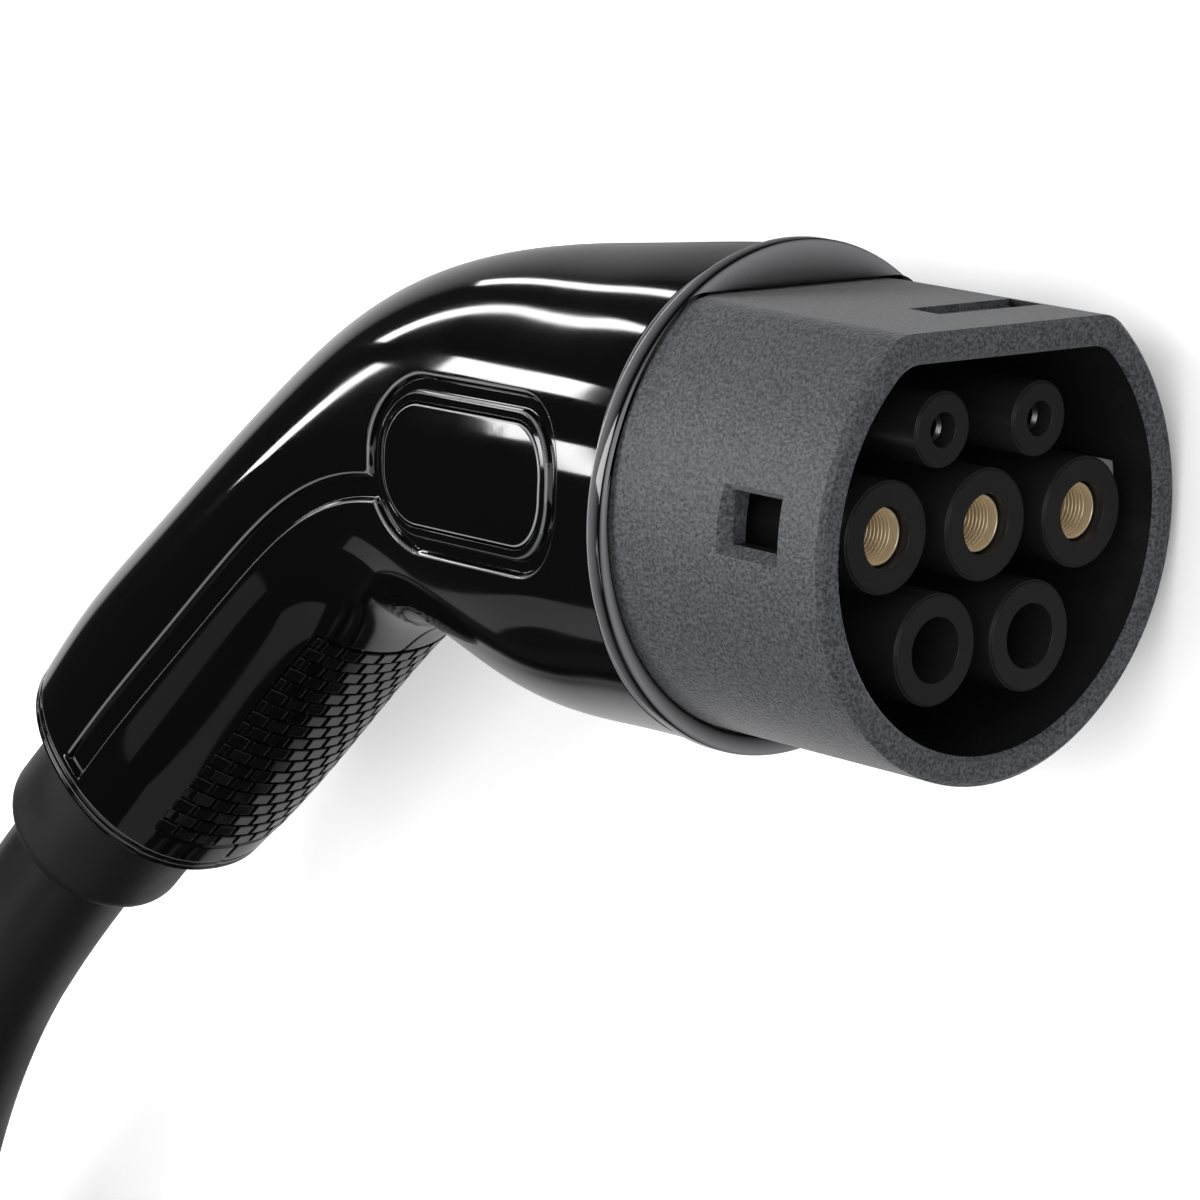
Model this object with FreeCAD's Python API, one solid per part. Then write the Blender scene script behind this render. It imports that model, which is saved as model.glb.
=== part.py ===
# Vehicle connector of a portable car charging cable, with its cable put away in a coil.
# Built in the connector's own frame: X runs forward out of the coupling face, Z runs up to the
# flat of the shroud, and the coupling face lies in the plane X = 0. At the end everything is
# turned onto its side, which is how the connector lies, and the origin is set under its middle.
import math
import os

import FreeCAD
import Part
from FreeCAD import Vector

os.makedirs("parts", exist_ok=True)

# shroud round the contacts
shroud_radius = 35.0
shroud_flat = 28.3
shroud_corner = 6.0
shroud_taper = 0.2
shroud_wall = 4.2
shroud_step = 0.9
rim_chamfer = 0.7
mouth_chamfer = 0.6
mouth_rise = 0.2
neck_flat_extra = 0.2
neck_extra = 0.5
pocket_back = 5.0
ledge_flat_drop = 3.5
bore_flat_drop = 1.9
fit = 0.3
neck_radius = shroud_radius - shroud_wall + neck_extra
neck_flat = shroud_flat - shroud_wall + neck_flat_extra

# lock windows in the shroud's sides: stations, heights, bevel and the depth where it starts
window_back = -18.0
window_front = -7.8
window_low = -1.3
window_high = 6.1
window_bevel = 1.35
window_seat = 1.9

# stepped recess in the shroud's flat
recess_back = -18.0
recess_front = -11.8
recess_left = -1.6
recess_right = 18.5
recess_depth = 1.2
recess_step = 2.8
recess_inner = (1.4, 5.0, 2.0, 1.0)

# housing shells
lip_x = -40.0
lip_radius = 36.5
lip_band = 3.4
lip_gap = 0.7
lip_inset = 2.2
wall = 2.4
end_wall = 2.7
edge_round = 0.5
# rows along the spine, front to back: x, z, tilt in degrees, half width, half height
housing_rows = [
    (-42.0, -1.6, 0.0, 35.5, 35.5),
    (-56.0, -2.3, 0.0, 32.7, 34.9),
    (-72.0, -4.0, 0.0, 29.9, 34.2),
    (-90.0, -4.2, 8.0, 26.9, 31.9),
    (-108.2, -5.5, 20.0, 23.9, 26.6),
    (-124.5, -12.8, 33.0, 21.7, 21.1),
    (-138.2, -24.8, 42.0, 20.8, 21.2),
    (-152.3, -38.7, 44.5, 20.5, 21.9),
    (-166.3, -52.2, 46.0, 20.3, 22.9),
    (-177.65, -64.2, 46.5, 19.5, 21.5),
]
section_power = 2.2
section_points = 28
loft_sections = 19

# oval inlay in each side, the groove round it and the groove that runs down the handle
inlay_length = 40.0
inlay_height = 17.4
inlay_corner = 7.5
inlay_x = -76.9
inlay_z = -1.3
inlay_tilt = 3.0
inlay_depth = 1.4
inlay_gap = 0.2
moat_inner = 1.8
moat_outer = 4.1
moat_depth = 1.0
side_groove_width = 3.8
side_groove_start = 3.55
side_groove_end = 8.72

# grip rows on the underside of the handle
grip_rows = 19
grip_pitch = 3.0
grip_last = 2.4
grip_cut = 0.6
grip_depth = 0.5
grip_from = 0.79
grip_turn = 9.0
grip_reach = 38.0

# contact insert
carrier_front = -36.0
ledge = 2.5
carrier_back = -46.0
plate_back = -49.0
bore_radius = 29.0
ledge_radius = 27.4
power_sleeve = 7.8
power_bore = 4.3
power_face = -3.0
power_row_y = 19.2
power_row_z = 0.6
pilot_sleeve = 5.25
pilot_bore = 2.4
pilot_face = -2.9
pilot_row_y = 9.45
pilot_row_z = 14.4
spare_face = -2.4
spare_bore = 4.55
spare_row_y = 9.3
spare_row_z = -15.6
spare_bottom = -34.0
shoulder_front = -42.5
plate_screw_places = [(-21.5, -13.5), (21.5, -13.5), (0.0, 18.6)]
plate_screw_radius = 1.2
plate_screw_head = 2.4
plate_screw_run = 5.0

# contacts
power_contact = 4.0
power_recess = 1.5
power_pin = 3.05
power_lip = 0.3
power_steps = 4
power_step_first = 2.2
power_step_length = 0.8
power_hole_depth = 24.0
power_shoulder = 5.0
power_barrel = 4.2
power_back = -58.0
pilot_contact = 2.1
pilot_recess = 2.3
pilot_pin = 1.55
pilot_hole_depth = 20.0
pilot_shoulder = 3.0
pilot_barrel = 2.5
pilot_back = -56.0
crimp_depth = 7.0
resistor_radius = 1.6
resistor_length = 7.0
resistor_z = 9.0

# wires, cable, collar and clamp
power_wire = 2.6
power_copper = 2.0
pilot_wire = 1.2
pilot_copper = 0.7
# where each core runs in the handle: rise and sideways
core_layout = {
    "neutral": (1.5, -4.3),
    "earth": (-5.2, 0.0),
    "line": (1.5, 4.3),
    "proximity": (8.0, -2.3),
    "pilot": (8.0, 2.3),
}
cable_radius = 11.0
collar_radius = 15.1
collar_length = 22.0
collar_round = 3.8
collar_flange = 16.6
collar_flange_thick = 2.6
tail_inside = 44.0
clamp_inner_end = 40.0
clamp_outer_end = 24.0
clamp_wall = 3.0
clamp_half_width = 17.2
clamp_gap = 0.3
clamp_screw_y = 14.6
clamp_head = 2.3
clamp_head_height = 1.8
rib_thickness = 2.0

# screws: x, z and the height of the seat under the head
housing_screws = [
    (-60.0, 22.0, 19.0),
    (-62.0, -27.0, 19.0),
    (-104.0, 13.0, 16.0),
    (-148.0, -12.5, 13.0),
    (-131.0, -36.0, 13.0),
]
boss_radius = 3.8
screw_radius = 1.5
screw_head_radius = 2.9
screw_head_height = 2.2
screw_cross = 4.4
screw_cross_depth = 1.0
screw_pocket = 3.2
screw_depth = 9.0

# free cable: a straight run out of the collar, then steps to the coil: across, along and up
cable_first_run = 24.5
cable_steps = [
    (-18.8, -25.9, -2.0),
    (-16.3, -32.1, -5.0),
    (-13.7, -39.7, -7.0),
    (-8.8, -45.2, -6.0),
    (-3.2, -45.9, -4.0),
]
coil_inner_turn = 121.0
coil_outer_turn = 143.0
coil_layers = 3
coil_start = 176.0
tie_thickness = 1.5
tie_width_angle = 9.0
tie_places = (15.5, 195.5)

# far end: steps from the coil to the plug, and the plug
lead_steps = [
    (44.0, 0.0, -1.0),
    (44.0, 0.0, -13.0),
    (44.0, 0.0, -11.5),
    (42.0, 0.0, 0.0),
]
plug_radius = 31.0
plug_handle_radius = 26.0
plug_length = 118.0
plug_pin_radius = 3.0
plug_pin_circle = 12.5
plug_nut_radius = 18.0
plug_nut_length = 22.0
plug_neck_radius = 20.0
plug_grip_end = 74.0
plug_floor = 84.0
plug_wall = 3.0


def x_cylinder(radius, back, front, y=0.0, z=0.0):
    """Round bar along X between two stations."""
    return Part.makeCylinder(radius, front - back, Vector(back, y, z), Vector(1, 0, 0))


def turned(profile, y=0.0, z=0.0):
    """Solid of revolution round an axis along X, from (x, radius) corners."""
    corners = [Vector(x, 0, radius) for x, radius in profile]
    face = Part.Face(Part.makePolygon(corners + corners[:1]))
    solid = face.revolve(Vector(0, 0, 0), Vector(1, 0, 0), 360)
    solid.translate(Vector(0, y, z))
    return solid


def d_wire(x, radius, flat, corner):
    """Round outline with a flat on top and rounded corners, across the X axis."""
    side = math.sqrt((radius - corner) ** 2 - (flat - corner) ** 2)
    reach = radius / (radius - corner)
    touch_y, touch_z = side * reach, (flat - corner) * reach
    middle = math.atan2(flat - corner, side) / 2 + math.pi / 4
    bulge_y = side + corner * math.cos(middle)
    bulge_z = flat - corner + corner * math.sin(middle)
    left, right = Vector(x, -side, flat), Vector(x, side, flat)
    low_left, low_right = Vector(x, -touch_y, touch_z), Vector(x, touch_y, touch_z)
    edges = [
        Part.LineSegment(left, right).toShape(),
        Part.Arc(right, Vector(x, bulge_y, bulge_z), low_right).toShape(),
        Part.Arc(low_right, Vector(x, 0, -radius), low_left).toShape(),
        Part.Arc(low_left, Vector(x, -bulge_y, bulge_z), left).toShape(),
    ]
    return Part.Wire(edges)


def d_solid(back, front, radius, flat, corner=shroud_corner, taper=0.0):
    """Bar with the D outline; the back can be smaller than the front by the taper."""
    wires = [d_wire(back, radius - taper, flat - taper, corner), d_wire(front, radius, flat, corner)]
    return Part.makeLoft(wires, True, True)


def box(low, high):
    """Box between two opposite corners."""
    size = [high[i] - low[i] for i in range(3)]
    return Part.makeBox(size[0], size[1], size[2], Vector(*low))


def spine(position):
    """Row of the housing at a position along the spine, on a uniform cubic B-spline."""
    rows = housing_rows
    first = [2 * a - b for a, b in zip(rows[0], rows[1])]
    last = [2 * a - b for a, b in zip(rows[-1], rows[-2])]
    points = [first] + [list(row) for row in rows] + [last]
    span = min(int(position), len(rows) - 2)
    t = position - span
    weights = [(1 - t) ** 3, 3 * t ** 3 - 6 * t ** 2 + 4, 3 * t + 3 * t ** 2 - 3 * t ** 3 + 1, t ** 3]
    near = points[span:span + 4]
    return [sum(w * p[i] for w, p in zip(weights, near)) / 6 for i in range(5)]


def spine_frame(position):
    """Placement on the spine: its Z runs back along the handle and its X up across it."""
    x, z, tilt = spine(position)[:3]
    return FreeCAD.Placement(Vector(x, 0, z), FreeCAD.Rotation(Vector(0, 1, 0), -(90 + tilt)))


def section_wire(position, inset):
    """Outline of the housing across the spine, a rounded oval, drawn in by the inset."""
    x, z, tilt, half_width, half_height = spine(position)
    lean = math.radians(tilt)
    points = []
    for k in range(section_points):
        angle = 2 * math.pi * k / section_points
        across = math.copysign(abs(math.cos(angle)) ** (2 / section_power), math.cos(angle))
        up = math.copysign(abs(math.sin(angle)) ** (2 / section_power), math.sin(angle))
        rise = (half_height - inset) * up
        points.append(Vector(x - math.sin(lean) * rise, (half_width - inset) * across,
                             z + math.cos(lean) * rise))
    even = [k / section_points for k in range(section_points + 1)]
    curve = Part.BSplineCurve()
    curve.interpolate(Points=points, PeriodicFlag=True, Parameters=even)
    return Part.Wire(curve.toShape())


def housing_body(inset=0.0):
    """Solid inside the housing's outer face, drawn in by the inset."""
    last = len(housing_rows) - 1
    wires = [section_wire(last * k / (loft_sections - 1), inset) for k in range(loft_sections)]
    return Part.makeLoft(wires, True, False)


def oval_wire(grow):
    """Rounded rectangle of the inlay in the plane Y = 0, larger by grow on every side."""
    half_long, half_high = inlay_length / 2 + grow, inlay_height / 2 + grow
    corner = inlay_corner + grow
    flat_x, flat_z = half_long - corner, half_high - corner
    bulge = corner * math.sqrt(0.5)
    edges = []
    for sx, sz in ((1, 1), (1, -1), (-1, -1), (-1, 1)):
        side = Vector(sx * half_long, 0, sz * flat_z)
        end = Vector(sx * flat_x, 0, sz * half_high)
        middle = Vector(sx * (flat_x + bulge), 0, sz * (flat_z + bulge))
        begin, finish = (end, side) if sx == sz else (side, end)
        if edges:
            edges.append(Part.LineSegment(edges[-1].lastVertex().Point, begin).toShape())
        edges.append(Part.Arc(begin, middle, finish).toShape())
    edges.append(Part.LineSegment(edges[-1].lastVertex().Point, edges[0].firstVertex().Point).toShape())
    wire = Part.Wire(edges)
    wire.rotate(Vector(0, 0, 0), Vector(0, 1, 0), -inlay_tilt)
    wire.translate(Vector(inlay_x, 0, inlay_z))
    return wire


def oval_bar(grow):
    """Bar with the inlay's outline through the whole width of the housing."""
    face = Part.Face(oval_wire(grow))
    face.translate(Vector(0, -50, 0))
    return face.extrude(Vector(0, 100, 0))


def side_groove_bar():
    """Bar through the housing that follows the handle, for the groove down each side."""
    upper, lower = [], []
    steps = 12
    for k in range(steps + 1):
        position = side_groove_start + (side_groove_end - side_groove_start) * k / steps
        frame = spine_frame(position)
        upper.append(frame.multVec(Vector(0, 0, 0)))
        lower.append(frame.multVec(Vector(-side_groove_width, 0, 0)))
    curves = []
    for points in (upper, lower):
        curve = Part.BSplineCurve()
        curve.interpolate(points)
        curves.append(curve.toShape())
    ends = [Part.LineSegment(upper[0], lower[0]).toShape(), Part.LineSegment(upper[-1], lower[-1]).toShape()]
    edges = [curves[0], ends[1], curves[1], ends[0]]
    face = Part.Face(Part.Wire(Part.__sortEdges__(edges)))
    face.translate(Vector(0, -50, 0))
    return face.extrude(Vector(0, 100, 0))


def grip_slots():
    """Thin slabs across the underside of the handle behind each grip row, and the short
    blades between them that part each row of the left half into staggered tiles."""
    slots = []
    for k in range(grip_rows):
        back = grip_last + grip_pitch * k
        height = row_at(back)[4]
        slab = box((-40.0, -30.0, -grip_cut / 2), (-grip_from * height, 30.0, grip_cut / 2))
        slab.Placement = frame_at(back)
        slots.append(slab)
        if k == grip_rows - 1:
            continue
        middle = frame_at(back + grip_pitch / 2)
        turn = grip_turn if k % 2 else grip_turn / 2
        while turn < grip_reach:
            blade = box((-40.0, -grip_cut / 2, -grip_pitch / 2), (-12.0, grip_cut / 2, grip_pitch / 2))
            spin = FreeCAD.Placement(Vector(0, 0, 0), FreeCAD.Rotation(Vector(0, 0, 1), turn))
            blade.Placement = middle.multiply(spin)
            slots.append(blade)
            turn += grip_turn
    return slots[0].fuse(slots[1:])


def frame_at(back):
    """Placement on the spine at a distance back from the handle's end."""
    row = row_at(back)
    return FreeCAD.Placement(Vector(row[0], 0, row[1]), FreeCAD.Rotation(Vector(0, 1, 0), -(90 + row[2])))


def row_at(back):
    """Row of the housing at a distance back from the handle's end, along the spine."""
    last = len(housing_rows) - 1
    position, walked = float(last), 0.0
    here = spine(position)
    while walked < back:
        position -= 0.02
        row = spine(position)
        walked += math.hypot(row[0] - here[0], row[1] - here[1])
        here = row
    return here


handle_end = spine_frame(len(housing_rows) - 1)


def in_handle(shape):
    """Moves a shape drawn along Z onto the handle's axis, Z = 0 at the housing's end."""
    shape.Placement = handle_end.multiply(shape.Placement)
    return shape


def make_shroud():
    """Moulded D-shaped shroud with its lock windows and the recess in its flat."""
    back = lip_x - lip_inset + fit
    outer = d_solid(back, -rim_chamfer, shroud_radius, shroud_flat, taper=shroud_taper)
    rim_wires = [d_wire(-rim_chamfer, shroud_radius, shroud_flat, shroud_corner),
                 d_wire(0.0, shroud_radius - rim_chamfer, shroud_flat - rim_chamfer, shroud_corner)]
    rim = Part.makeLoft(rim_wires, True, True)
    neck = d_solid(plate_back, back, neck_radius, neck_flat)
    flange = d_solid(plate_back, lip_x - pocket_back - fit, neck_radius + shroud_step, neck_flat + shroud_step)
    body = outer.fuse([rim, neck, flange])
    inside = shroud_radius - shroud_wall
    inside_flat = shroud_flat - shroud_wall
    cavity = d_solid(carrier_front, 1.0, inside, inside_flat)
    mouth_wires = [d_wire(-mouth_chamfer, inside, inside_flat, shroud_corner),
                   d_wire(mouth_rise, inside + mouth_chamfer + mouth_rise,
                          inside_flat + mouth_chamfer + mouth_rise, shroud_corner)]
    mouth = Part.makeLoft(mouth_wires, True, True)
    opening = d_solid(carrier_front - ledge - 0.1, 0.0, ledge_radius, ledge_flat())
    rear = d_solid(plate_back - 1.0, carrier_front - ledge, bore_radius, bore_flat())
    body = body.cut(cavity.fuse([mouth, opening, rear]))
    for side in (-1, 1):
        body = body.cut(lock_window(side))
    return body.cut(top_recess())


def ledge_flat():
    """Height of the flat in the shroud's inner ledge."""
    return shroud_flat - shroud_wall - ledge_flat_drop


def bore_flat():
    """Height of the flat in the bore behind the ledge."""
    return shroud_flat - shroud_wall - bore_flat_drop


def lock_window(side):
    """Cutter for the square window in one side, bevelled on all but its front edge."""
    outside, seat = shroud_radius + 1.0, shroud_radius - window_seat
    hole = box((window_back, -outside, window_low), (window_front, -shroud_radius + shroud_wall + 3, window_high))
    wires = []
    for y, grow in ((seat, 0.0), (outside, window_bevel * (outside - seat) / (shroud_radius - shroud_taper - seat))):
        corners = [Vector(window_back - grow, -y, window_low - grow), Vector(window_front, -y, window_low - grow),
                   Vector(window_front, -y, window_high + grow), Vector(window_back - grow, -y, window_high + grow)]
        wires.append(Part.makePolygon(corners + corners[:1]))
    cutter = hole.fuse(Part.makeLoft(wires, True, True))
    return cutter if side < 0 else cutter.mirror(Vector(0, 0, 0), Vector(0, 1, 0))


def top_recess():
    """Cutter for the shallow stepped recess in the shroud's flat."""
    top = shroud_flat + 1.0
    shallow = box((recess_back, recess_left, shroud_flat - recess_depth), (recess_front, recess_right, top))
    back, left, front, right = recess_inner
    deep = box((recess_back + back, recess_left + left, shroud_flat - recess_step),
               (recess_front - front, recess_right - right, top))
    return shallow.fuse(deep)


def power_places():
    """Axes of the three live sleeves: neutral, earth and line."""
    return [(-power_row_y, power_row_z), (0.0, power_row_z), (power_row_y, power_row_z)]


def pilot_places():
    """Axes of the two pilot sleeves."""
    return [(-pilot_row_y, pilot_row_z), (pilot_row_y, pilot_row_z)]


def spare_places():
    """Axes of the two sleeves without contacts."""
    return [(-spare_row_y, spare_row_z), (spare_row_y, spare_row_z)]


def sleeve(radius, face, y, z):
    """Round sleeve from the insert's base to its face, with a small edge chamfer."""
    bar = x_cylinder(radius - 0.3, carrier_front - 1.0, face, y, z)
    return bar.fuse(x_cylinder(radius, carrier_front - 1.0, face - 0.3, y, z))


def make_carrier():
    """Contact insert: base, boss and seven sleeves with their bores."""
    base = d_solid(carrier_back, carrier_front - ledge, bore_radius - fit, bore_flat() - fit)
    boss = d_solid(carrier_front - ledge, carrier_front, ledge_radius - fit, ledge_flat() - fit)
    bars, bores = [boss], []
    for y, z in power_places():
        bars.append(sleeve(power_sleeve, power_face, y, z))
        bores.append(x_cylinder(power_bore, carrier_back, 0.0, y, z))
        bores.append(x_cylinder(power_shoulder + fit, carrier_back - 1, shoulder_front, y, z))
    for y, z in pilot_places():
        bars.append(sleeve(pilot_sleeve, pilot_face, y, z))
        bores.append(x_cylinder(pilot_bore, carrier_back, 0.0, y, z))
        bores.append(x_cylinder(pilot_shoulder + fit, carrier_back - 1, shoulder_front, y, z))
    for y, z in spare_places():
        bars.append(sleeve(power_sleeve, spare_face, y, z))
        bores.append(x_cylinder(spare_bore, spare_bottom, 0.0, y, z))
    for y, z in plate_screw_places:
        bores.append(x_cylinder(plate_screw_radius, carrier_back - 1, carrier_back + plate_screw_run, y, z))
    return base.fuse(bars).cut(bores)


def make_plate():
    """Plate behind the insert that holds the contacts in."""
    plate = d_solid(plate_back, carrier_back, bore_radius - fit, bore_flat() - fit)
    holes = []
    for y, z in power_places():
        holes.append(x_cylinder(power_barrel + fit, plate_back - 1, carrier_back + 1, y, z))
    for y, z in pilot_places():
        holes.append(x_cylinder(pilot_barrel + fit, plate_back - 1, carrier_back + 1, y, z))
    for y, z in plate_screw_places:
        holes.append(x_cylinder(plate_screw_radius + 0.2, plate_back - 1, carrier_back + 1, y, z))
    return plate.cut(holes)


def make_plate_screws():
    """Three small screws through the plate into the insert."""
    screws = []
    for y, z in plate_screw_places:
        head = x_cylinder(plate_screw_head, plate_back - 1.6, plate_back, y, z)
        head = head.cut(box((plate_back - 1.7, y - 0.3, z - 1.8), (plate_back - 0.9, y + 0.3, z + 1.8)))
        shank = x_cylinder(plate_screw_radius, plate_back, carrier_back + plate_screw_run, y, z)
        screws.append(head.fuse(shank))
    return Part.makeCompound(screws)


def make_power_contact(y, z):
    """Turned power socket: stepped mouth, bore for the pin, shoulder and crimp barrel."""
    mouth = power_face - power_recess
    radius = power_contact - power_lip
    wall_step = (radius - power_pin) / power_steps
    profile = [(power_back, power_copper), (power_back, power_barrel), (carrier_back, power_barrel),
               (carrier_back, power_shoulder), (shoulder_front, power_shoulder),
               (shoulder_front, power_contact), (mouth - 0.2, power_contact), (mouth, power_contact - 0.2)]
    profile.append((mouth, radius))
    depth = mouth - power_step_first
    for _ in range(power_steps):
        profile.append((depth, radius))
        radius -= wall_step
        profile.append((depth, radius))
        depth -= power_step_length
    profile += [(mouth - power_hole_depth, power_pin), (mouth - power_hole_depth - 1.6, 0.0),
                (power_back + crimp_depth, 0.0), (power_back + crimp_depth, power_copper)]
    return turned(profile, y, z)


def make_pilot_contact(y, z):
    """Turned pilot socket with a bevelled mouth."""
    mouth = pilot_face - pilot_recess
    profile = [(pilot_back, pilot_copper), (pilot_back, pilot_barrel), (carrier_back, pilot_barrel),
               (carrier_back, pilot_shoulder), (shoulder_front, pilot_shoulder),
               (shoulder_front, pilot_contact), (mouth, pilot_contact), (mouth, pilot_contact - 0.1),
               (mouth - 0.5, pilot_pin), (mouth - pilot_hole_depth, pilot_pin),
               (mouth - pilot_hole_depth - 0.8, 0.0),
               (pilot_back + crimp_depth, 0.0), (pilot_back + crimp_depth, pilot_copper)]
    return turned(profile, y, z)


def rounded_path(points, name=""):
    """Wire of straight runs joined by tangent arcs, each as large as its runs allow."""
    edges, radii = [], []
    start = points[0]
    for k in range(1, len(points) - 1):
        before, after = points[k] - points[k - 1], points[k + 1] - points[k]
        trim = 0.45 * min(before.Length, after.Length)
        into, out = Vector(before).normalize(), Vector(after).normalize()
        half_turn = into.getAngle(out) / 2
        radius = trim / math.tan(half_turn)
        radii.append(round(radius))
        begin, finish = points[k] - into * trim, points[k] + out * trim
        inward = (out - into).normalize()
        to_centre = radius / math.cos(half_turn)
        middle = points[k] + inward * (to_centre - radius)
        edges.append(Part.LineSegment(start, begin).toShape())
        edges.append(Part.Arc(begin, middle, finish).toShape())
        start = finish
    edges.append(Part.LineSegment(start, points[-1]).toShape())
    if name:
        print(name, "bend radii", radii)
    return Part.Wire(edges)


def tube(points, radius, name=""):
    """Round tube along a rounded path."""
    path = rounded_path(points, name)
    direction = points[1] - points[0]
    profile = Part.Wire(Part.makeCircle(radius, points[0], direction))
    solid = path.makePipeShell([profile], True, False)
    if name:
        print(name, "length", round(path.Length), "volume over section", round(solid.Volume / path.Length))
    return solid


def wire_route(y, z, back, lift, side):
    """Points of one insulated core from its contact to the cable's end in the handle."""
    points = [Vector(back, y, z), Vector(back - 11, y, z)]
    for position, blend in ((3.1, 0.55), (4.3, 0.05), (5.4, 0.0)):
        x, middle, tilt = spine(position)[:3]
        up = blend * (z - middle) + (1 - blend) * lift
        frame = spine_frame(position)
        points.append(frame.multVec(Vector(up, blend * y + (1 - blend) * side, 0)))
    points.append(handle_end.multVec(Vector(lift, side, -tail_inside - 10)))
    points.append(handle_end.multVec(Vector(lift, side, -tail_inside)))
    return points


def make_core(y, z, back, radius, copper, lift, side):
    """Insulated core with its bare end in the crimp barrel."""
    bare = x_cylinder(copper, back, back + crimp_depth, y, z)
    return tube(wire_route(y, z, back, lift, side), radius).fuse(bare)


def make_resistor():
    """Small coding resistor on the back of the plate."""
    start = Vector(plate_back - resistor_radius, -resistor_length / 2, resistor_z)
    return Part.makeCylinder(resistor_radius, resistor_length, start, Vector(0, 1, 0))


def boss_cylinder(x, z, radius, low, high):
    """Round bar across the housing at a screw's place."""
    return Part.makeCylinder(radius, high - low, Vector(x, low, z), Vector(0, 1, 0))


def make_shells():
    """Left and right housing shells, split on the middle plane."""
    body = housing_body()
    band = turned([(lip_x - lip_band, 0), (lip_x - lip_band, lip_radius - edge_round),
                   (lip_x - lip_band + edge_round, lip_radius), (lip_x - edge_round, lip_radius),
                   (lip_x, lip_radius - edge_round), (lip_x, 0)], 0.0, housing_rows[0][1])
    outer = body.fuse(band)
    hollow = housing_body(wall).common(box((-300, -60, -200), (lip_x - pocket_back, 60, 100)))
    end_block = in_handle(box((-60, -60, -end_wall), (60, 60, 60)))
    hollow = hollow.cut(end_block)
    reach = shroud_radius - shroud_taper + lip_gap
    front = d_solid(lip_x - lip_inset, lip_x + 1, reach, shroud_flat - shroud_taper + lip_gap)
    ring = d_solid(lip_x - pocket_back - 1.0, lip_x - lip_inset + 0.1, neck_radius + fit, neck_flat + fit)
    cable_hole = in_handle(Part.makeCylinder(collar_radius + 0.2, 12, Vector(0, 0, -6), Vector(0, 0, 1)))
    step = shroud_step + fit
    pocket = d_solid(plate_back - fit, lip_x - pocket_back, neck_radius + step, neck_flat + step)
    left_half = box((-300, -60, -200), (0, 0, 100))
    shell = outer.cut([hollow, front, ring, pocket, cable_hole]).common(left_half)
    half_body = body.common(left_half)
    shell = shell.fuse(ribs(half_body))
    skin = half_body.cut(housing_body(moat_depth))
    moat = oval_bar(moat_outer).cut(oval_bar(moat_inner)).common(skin)
    groove = side_groove_bar().cut(oval_bar(moat_inner + 1.0)).common(skin)
    pocket = oval_bar(inlay_gap).common(half_body.cut(housing_body(inlay_depth)))
    shell = shell.cut([moat, groove, pocket])
    left = shell.cut(grip_slots().common(half_body.cut(housing_body(grip_depth))))
    right = left.mirror(Vector(0, 0, 0), Vector(0, 1, 0))
    right_half_body = half_body.mirror(Vector(0, 0, 0), Vector(0, 1, 0))
    for x, z, seat in housing_screws:
        left = left.fuse(boss_cylinder(x, z, boss_radius, -50, 0).common(half_body))
        left = left.cut(boss_cylinder(x, z, screw_radius, -screw_depth, 1))
        right = right.fuse(boss_cylinder(x, z, boss_radius, 0, 50).common(right_half_body))
        right = right.cut([boss_cylinder(x, z, screw_radius + fit, -1, seat + 1),
                           boss_cylinder(x, z, screw_pocket, seat, 50)])
    return left, right


def ribs(body):
    """Two ribs across the handle that carry the clamp between them."""
    slabs = []
    for back in (clamp_inner_end + fit, clamp_outer_end - fit - rib_thickness):
        slab = in_handle(box((-40, -40, -back - rib_thickness), (40, 40, -back)))
        hole = in_handle(Part.makeCylinder(cable_radius + fit, 8, Vector(0, 0, -back - 5), Vector(0, 0, 1)))
        slabs.append(slab.common(body).cut(hole))
    return slabs


def make_inlays():
    """Oval inlays that lie flush in the sides of the shells."""
    skin = housing_body().cut(housing_body(inlay_depth))
    left = oval_bar(0.0).common(skin).common(box((-300, -60, -200), (0, 0, 100)))
    return left, left.mirror(Vector(0, 0, 0), Vector(0, 1, 0))


def make_housing_screws():
    """Screws that hold the two shells together, heads on the right side."""
    screws = []
    for x, z, seat in housing_screws:
        head = boss_cylinder(x, z, screw_head_radius, seat, seat + screw_head_height)
        bottom = seat + screw_head_height - screw_cross_depth
        slot = Part.makeBox(0.8, screw_cross_depth, screw_cross, Vector(x - 0.4, bottom, z - screw_cross / 2))
        cross = Part.makeBox(screw_cross, screw_cross_depth, 0.8, Vector(x - screw_cross / 2, bottom, z - 0.4))
        shank = boss_cylinder(x, z, screw_radius, -screw_depth + 1.0, seat)
        screws.append(head.fuse(shank).cut([slot, cross]))
    return Part.makeCompound(screws)


def make_collar():
    """Rubber collar at the handle's end, with a flange behind the end wall."""
    inner = -end_wall - fit - collar_flange_thick
    flange = Part.makeCylinder(collar_flange, collar_flange_thick, Vector(0, 0, inner), Vector(0, 0, 1))
    sleeve_body = Part.makeCylinder(collar_radius, collar_length - inner, Vector(0, 0, inner), Vector(0, 0, 1))
    rim = [e for e in sleeve_body.Edges if abs(e.BoundBox.ZMin - collar_length) < 0.01
           and abs(e.BoundBox.ZMax - collar_length) < 0.01]
    sleeve_body = sleeve_body.makeFillet(collar_round, rim)
    bore = Part.makeCylinder(cable_radius, 60, Vector(0, 0, -20), Vector(0, 0, 1))
    return in_handle(sleeve_body.fuse(flange).cut(bore))


def make_cable_tail():
    """End of the cable inside the collar and the clamp."""
    length = tail_inside + collar_length
    return in_handle(Part.makeCylinder(cable_radius, length, Vector(0, 0, -tail_inside), Vector(0, 0, 1)))


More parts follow.
